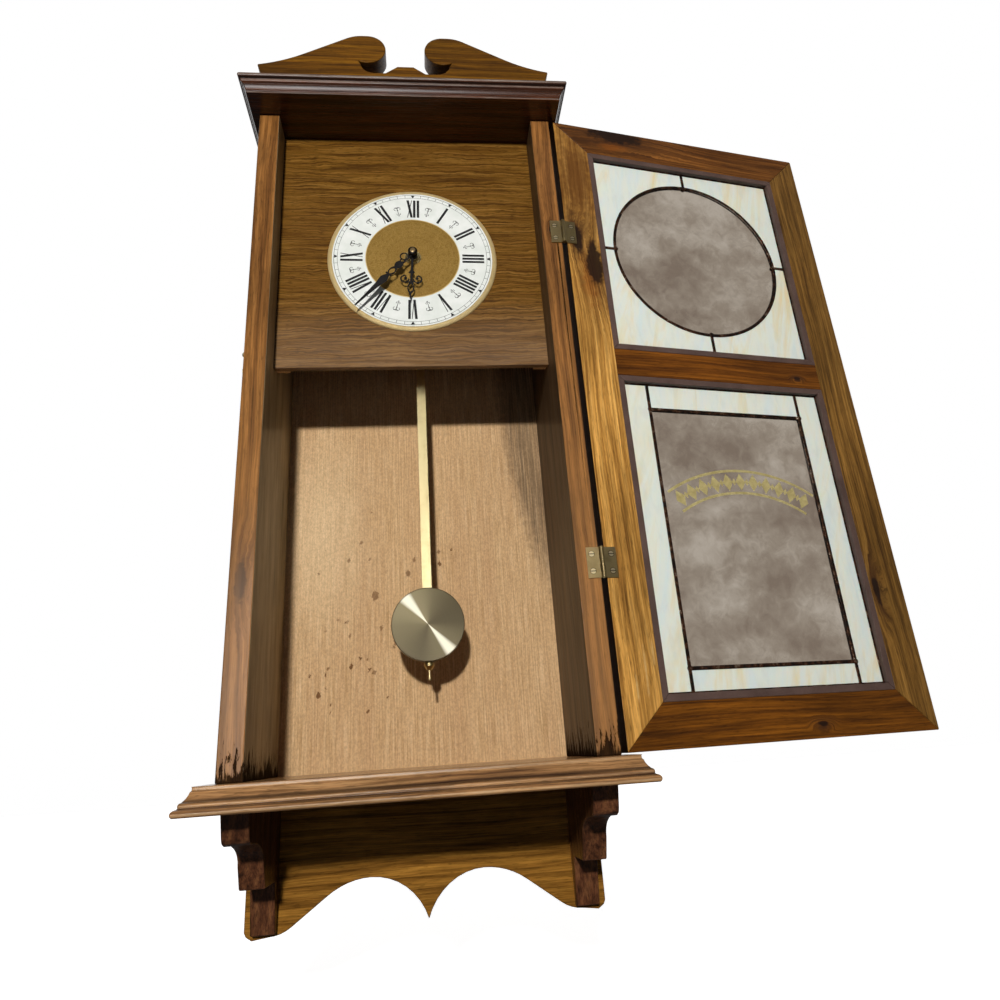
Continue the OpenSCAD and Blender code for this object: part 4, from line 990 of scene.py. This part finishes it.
def curl(across, up, radius, start, turn, thick=0.00045, parts=7):
    """A short run of small sheets along an arc"""
    made = []
    for part in range(parts):
        bearing = math.radians(start + turn * (part + 0.5) / parts)
        span = radius * math.radians(abs(turn)) / parts * 1.15
        piece = flat_sheet(0, radius, span, thick)
        made.append(put(piece, (across, 0, up), (0, bearing, 0)))
    return made


def flower():
    parts = [flat_sheet(*sheet) for sheet in (STEM, CROSSBAR, FOOT, BUD)]
    for side in (-1, 1):
        parts += curl(side * 0.0017, 0.0600, 0.0014, side * -80, side * 250)
        parts += curl(side * 0.0009, 0.0535, 0.0009, side * 20, side * 180, parts=5)
    return joined(parts, "flower")


first = flower()
flowers = [round_the_dial(copy_of(first, "flower"), 30 * half + 15 + DIAL_ROLL) for half in range(12)]
bpy.data.objects.remove(first)
half_hours = joined(flowers, "dial_half_hour_marks")
dress(half_hours, grey.material)
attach(half_hours, "case")
print("half-hour marks:", len(half_hours.data.polygons), "faces")

# %% [markdown]
# ## Hands and small dark parts
#
# The hands are pierced steel with a black gloss that has dulled a little. The movement behind the
# board is moulded plastic with a fine spark-eroded texture, and its gears are white plastic.

# %% Finish the dark parts and the movement
def moulded(name, colour, rough, fleck=0.0008, depth=0.00002, **more):
    plastic = Finish(name, **more)
    fine = plastic.noise(plastic.place(size=fleck), 3, 0.6)
    dust = plastic.noise(plastic.place(size=0.02), 3)
    low = tuple(v * 0.8 for v in colour)
    high = tuple(min(1, v * 1.2 + 0.004) for v in colour)
    plastic.colour(plastic.ramp(dust, (0.3, low), (0.7, high)))
    plastic.roughness(plastic.between(fine, 0.3, 0.7, rough - 0.05, rough + 0.1))
    plastic.bump(fine, depth, 0.5)
    return plastic.material


finish_parts(moulded("black gloss", (0.010, 0.009, 0.009), 0.42, Specular_IOR_Level=0.2),
             "minute_hand", "hour_hand")
finish_parts(moulded("black moulding", (0.02, 0.02, 0.021), 0.5),
             "movement_housing", "movement_cover", "pendulum_drive")
finish_parts(moulded("gear white", (0.72, 0.70, 0.64), 0.4), "hour_wheel", "minute_wheel")
finish_parts(moulded("knob red", (0.35, 0.03, 0.02), 0.4), "set_knob")
finish_parts(moulded("cell label", (0.05, 0.09, 0.16), 0.35, Coat_Weight=0.4), "battery")
finish_parts(moulded("copper winding", (0.55, 0.22, 0.08), 0.35, 0.0003, Metallic=0.8), "drive_coil")
finish_parts(moulded("rubber", (0.015, 0.015, 0.015), 0.75), "rubber_washer")
print("hands and movement done")

# %% Paint a highlight on the cap on the hands
CAP_TOP = DIAL - Vector((0, 0.0122, 0))
cap = Finish("cap with painted highlight", Metallic=0.8, Roughness=0.3)
speckled = cap.noise(cap.place(size=0.001), 3)
from_top = cap.length(cap.place(CAP_TOP, size=(1, 0.6, 1)))
from_top = cap.plus(from_top, cap.wander(speckled, 0.002))
# Painted highlight: a pale brass patch on the cap's domed top, the rest black
cap.colour(cap.mix(cap.between(from_top, 0.0030, 0.0020), (0.012, 0.011, 0.011), srgb(186, 158, 112)))
cap.bump(speckled, 0.00002, 0.3)
finish_parts(cap.material, "hand_nut")
print("cap done")

# %% [markdown]
# ## Leaded glass
#
# The door's panels are stained-glass work: opal panes round a clear one, edged in copper foil and
# joined by beads of solder that were darkened with patina. Where it was rubbed, the bead is bright.
# The CAD came gets a rounded copy, and a blob of solder is added wherever two lines meet.

# %% Finish the panes
opal = Finish("opal glass", Roughness=0.14, Coat_Weight=0.4, Coat_Roughness=0.05,
              Subsurface_Weight=0.15, Subsurface_Scale=0.003)
wisp_ruler = opal.place(turn=(0, math.radians(14), DOOR_TURN), size=(0.02, 0.02, 0.11))
wisps = opal.noise(wisp_ruler, 4, 0.6, 0.8)
hazy = opal.noise(opal.place(size=(0.006, 0.006, 0.02)), 3, 0.6, 0.4)
opal.colour(opal.ramp(wisps, (0.34, srgb(220, 233, 232)), (0.52, srgb(230, 235, 224)),
                      (0.70, srgb(230, 219, 180))))
opal.paint_over(opal.between(hazy, 0.45, 0.75, 0.0, 0.35), srgb(204, 214, 210))
opal.bump(hazy, 0.0004, 0.25)
clear = Finish("clear glass", Roughness=0.03, IOR=1.5, Transmission_Weight=1.0)
film = clear.noise(clear.place(size=(0.07, 0.07, 0.05)), 2)
dust = clear.noise(clear.place(size=0.011), 5, 0.7, 0.6)
haze = clear.plus(clear.times(film, 0.6), clear.times(dust, 0.4))
clear.colour(clear.ramp(haze, (0.38, srgb(122, 108, 95)), (0.5, srgb(145, 133, 119)),
                        (0.62, srgb(172, 162, 149))))
clear.bump(film, 0.0002, 0.05)
# Light passes the pane instead of leaving a solid shadow behind the closed door
let_through = clear.times(clear.node("LightPath").outputs["Is Shadow Ray"], 0.75)
clear.tune(clear.shader, Alpha=clear.minus(1.0, let_through))
finish_parts(opal.material, "upper_opal_glass", "lower_opal_glass")
finish_parts(clear.material, "upper_round_glass", "lower_clear_glass")
print("panes done")

# %% Describe the patina and a bead of solder
patina = Finish("patina", Metallic=0.75)
rub = patina.noise(patina.place(size=0.006), 4, 0.65)
lumps = patina.noise(patina.place(size=0.0022), 2, 0.6)
patina.colour(patina.ramp(rub, (0.44, srgb(42, 32, 27)), (0.60, srgb(96, 62, 42)),
                          (0.74, srgb(214, 198, 176))))
patina.roughness(patina.between(rub, 0.4, 0.8, 0.42, 0.2))
patina.bump(lumps, 0.0006, 0.7)


def blob(u, z, face, radius=2.4, high=0.55):
    """A flattened bead of solder on one face of the came"""
    piece = new_piece(bpy.ops.mesh.primitive_uv_sphere_add, segments=14, ring_count=8,
                      radius=radius / 1000)
    piece.scale = (1, high / radius, 1)
    return put(piece, on_door(u, face, z), (0, 0, DOOR_TURN))


print("patina described")

# %% Round the came and add its solder
ROUND_Z, MIDDLE_U, ROUND_R = 460.0, 142.0, 89.05
BARS_U, BARS_Z = (63.5, 220.5), (59.5, 286.3)
CAME_FACES = (4.5, 8.7)
JOINTS = {
    "upper_came": [(MIDDLE_U + ROUND_R * a, ROUND_Z + ROUND_R * b)
                   for a, b in ((0, 1), (1, 0), (0, -1), (-1, 0))],
    "lower_came": [(u, z) for u in BARS_U for z in BARS_Z],
}
for node, places in JOINTS.items():
    eased(node, 0.45, patina.material, 3, 50)
    beads = [blob(u, z, face) for u, z in places for face in CAME_FACES]
    solder = joined(beads, node + "_solder")
    dress(solder, patina.material)
    smooth(solder, 60)
    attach(solder, "door")
stop_wood = moulded("stop paint", srgb(84, 66, 60), 0.6, 0.002, 0.00008)
for node in ("upper_glass_stops", "lower_glass_stops"):
    eased(node, 0.4, stop_wood)
print("leaded glass done")

# %% [markdown]
# ## Gilt band
#
# The lower pane wears a painted arch of old gold on its back: two fine lines with a row of small
# lozenges between them. Each lozenge is a square sheet stood on its corner and drawn taller.

# %% Paint the gilt band
GILT_FACE, ARCH_U, ARCH_Z = 5.08, 142.5, 94.5
ARCH_LOW, ARCH_HIGH, ARCH_SPREAD = 114.0, 135.0, 32
LINE_PARTS, LINE_HIGH = 15, 0.0024
LOZENGES, LOZENGE_SPREAD = 10, ARCH_SPREAD - 2.0
LARGE, SMALL = (0.0050, 0.0082), (0.0020, 0.0034)


def on_the_pane(piece, degrees):
    """Swings a sheet drawn upright about the arch's centre and lays it on the pane's back face"""
    put(piece, turn=(0, math.radians(degrees), 0))
    return put(piece, on_door(ARCH_U, GILT_FACE, ARCH_Z), (0, 0, DOOR_TURN))


def lozenge(wide, high):
    piece = new_piece(bpy.ops.mesh.primitive_circle_add, vertices=4, radius=1, fill_type="NGON")
    piece.scale = (wide, high, 1)
    return put(piece, (0, 0, (ARCH_LOW + ARCH_HIGH) / 2000), FACING_US)


gilt = []
for line in (ARCH_LOW / 1000, ARCH_HIGH / 1000):
    long = line * math.radians(ARCH_SPREAD / LINE_PARTS) * 1.05
    for part in range(-LINE_PARTS, LINE_PARTS + 1):
        gilt.append(on_the_pane(flat_sheet(0, line, long, LINE_HIGH), ARCH_SPREAD * part / LINE_PARTS))
for part in range(-LOZENGES, LOZENGES + 1):
    size = LARGE if part % 2 == 0 else SMALL
    gilt.append(on_the_pane(lozenge(*size), LOZENGE_SPREAD * part / LOZENGES))
gilt_band = joined(gilt, "gilt_band")
gold = Finish("old gold paint", Roughness=0.5, Metallic=0.3)
rubbing_and_sheen = gold.noise(gold.place(size=0.004), 4, 0.65)
gold.colour(gold.ramp(rubbing_and_sheen, (0.3, srgb(176, 160, 104)), (0.7, srgb(214, 200, 142))))
gold.bump(rubbing_and_sheen, 0.00003, 0.3)
dress(gilt_band, gold.material)
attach(gilt_band, "door")
print("gilt band:", len(gilt_band.data.polygons), "sheets")

# %% [markdown]
# ## Floor
#
# A plain pale floor lies below the clock and takes its shadow. Seen by the camera it is lifted
# towards white with a weak glow, and it still darkens where the clock shades it.

# %% Lay the floor
FLOOR_SIZE, FLOOR_DROP = 9, 0.76
floor = new_piece(bpy.ops.mesh.primitive_plane_add, size=FLOOR_SIZE, location=(0, 0, -FLOOR_DROP))
floor.name = "floor"
SEEN_GREY, LIGHTING_GREY = (0.8, 0.8, 0.8), (0.12, 0.12, 0.12)
stone = Finish("pale floor", Roughness=0.8, Emission_Color=(1, 1, 1))
rays = stone.node("LightPath").outputs
stone.colour(stone.mix(stone.minus(1.0, rays["Is Camera Ray"]), SEEN_GREY, LIGHTING_GREY))
seen = stone.larger(rays["Is Camera Ray"], rays["Is Transmission Ray"])
farther = stone.between(stone.length(stone.place()), 0.5, 2.2, 0.80, 1.0)
stone.tune(stone.shader, Emission_Strength=stone.times(seen, farther))
dress(floor, stone.material)
print("floor laid")
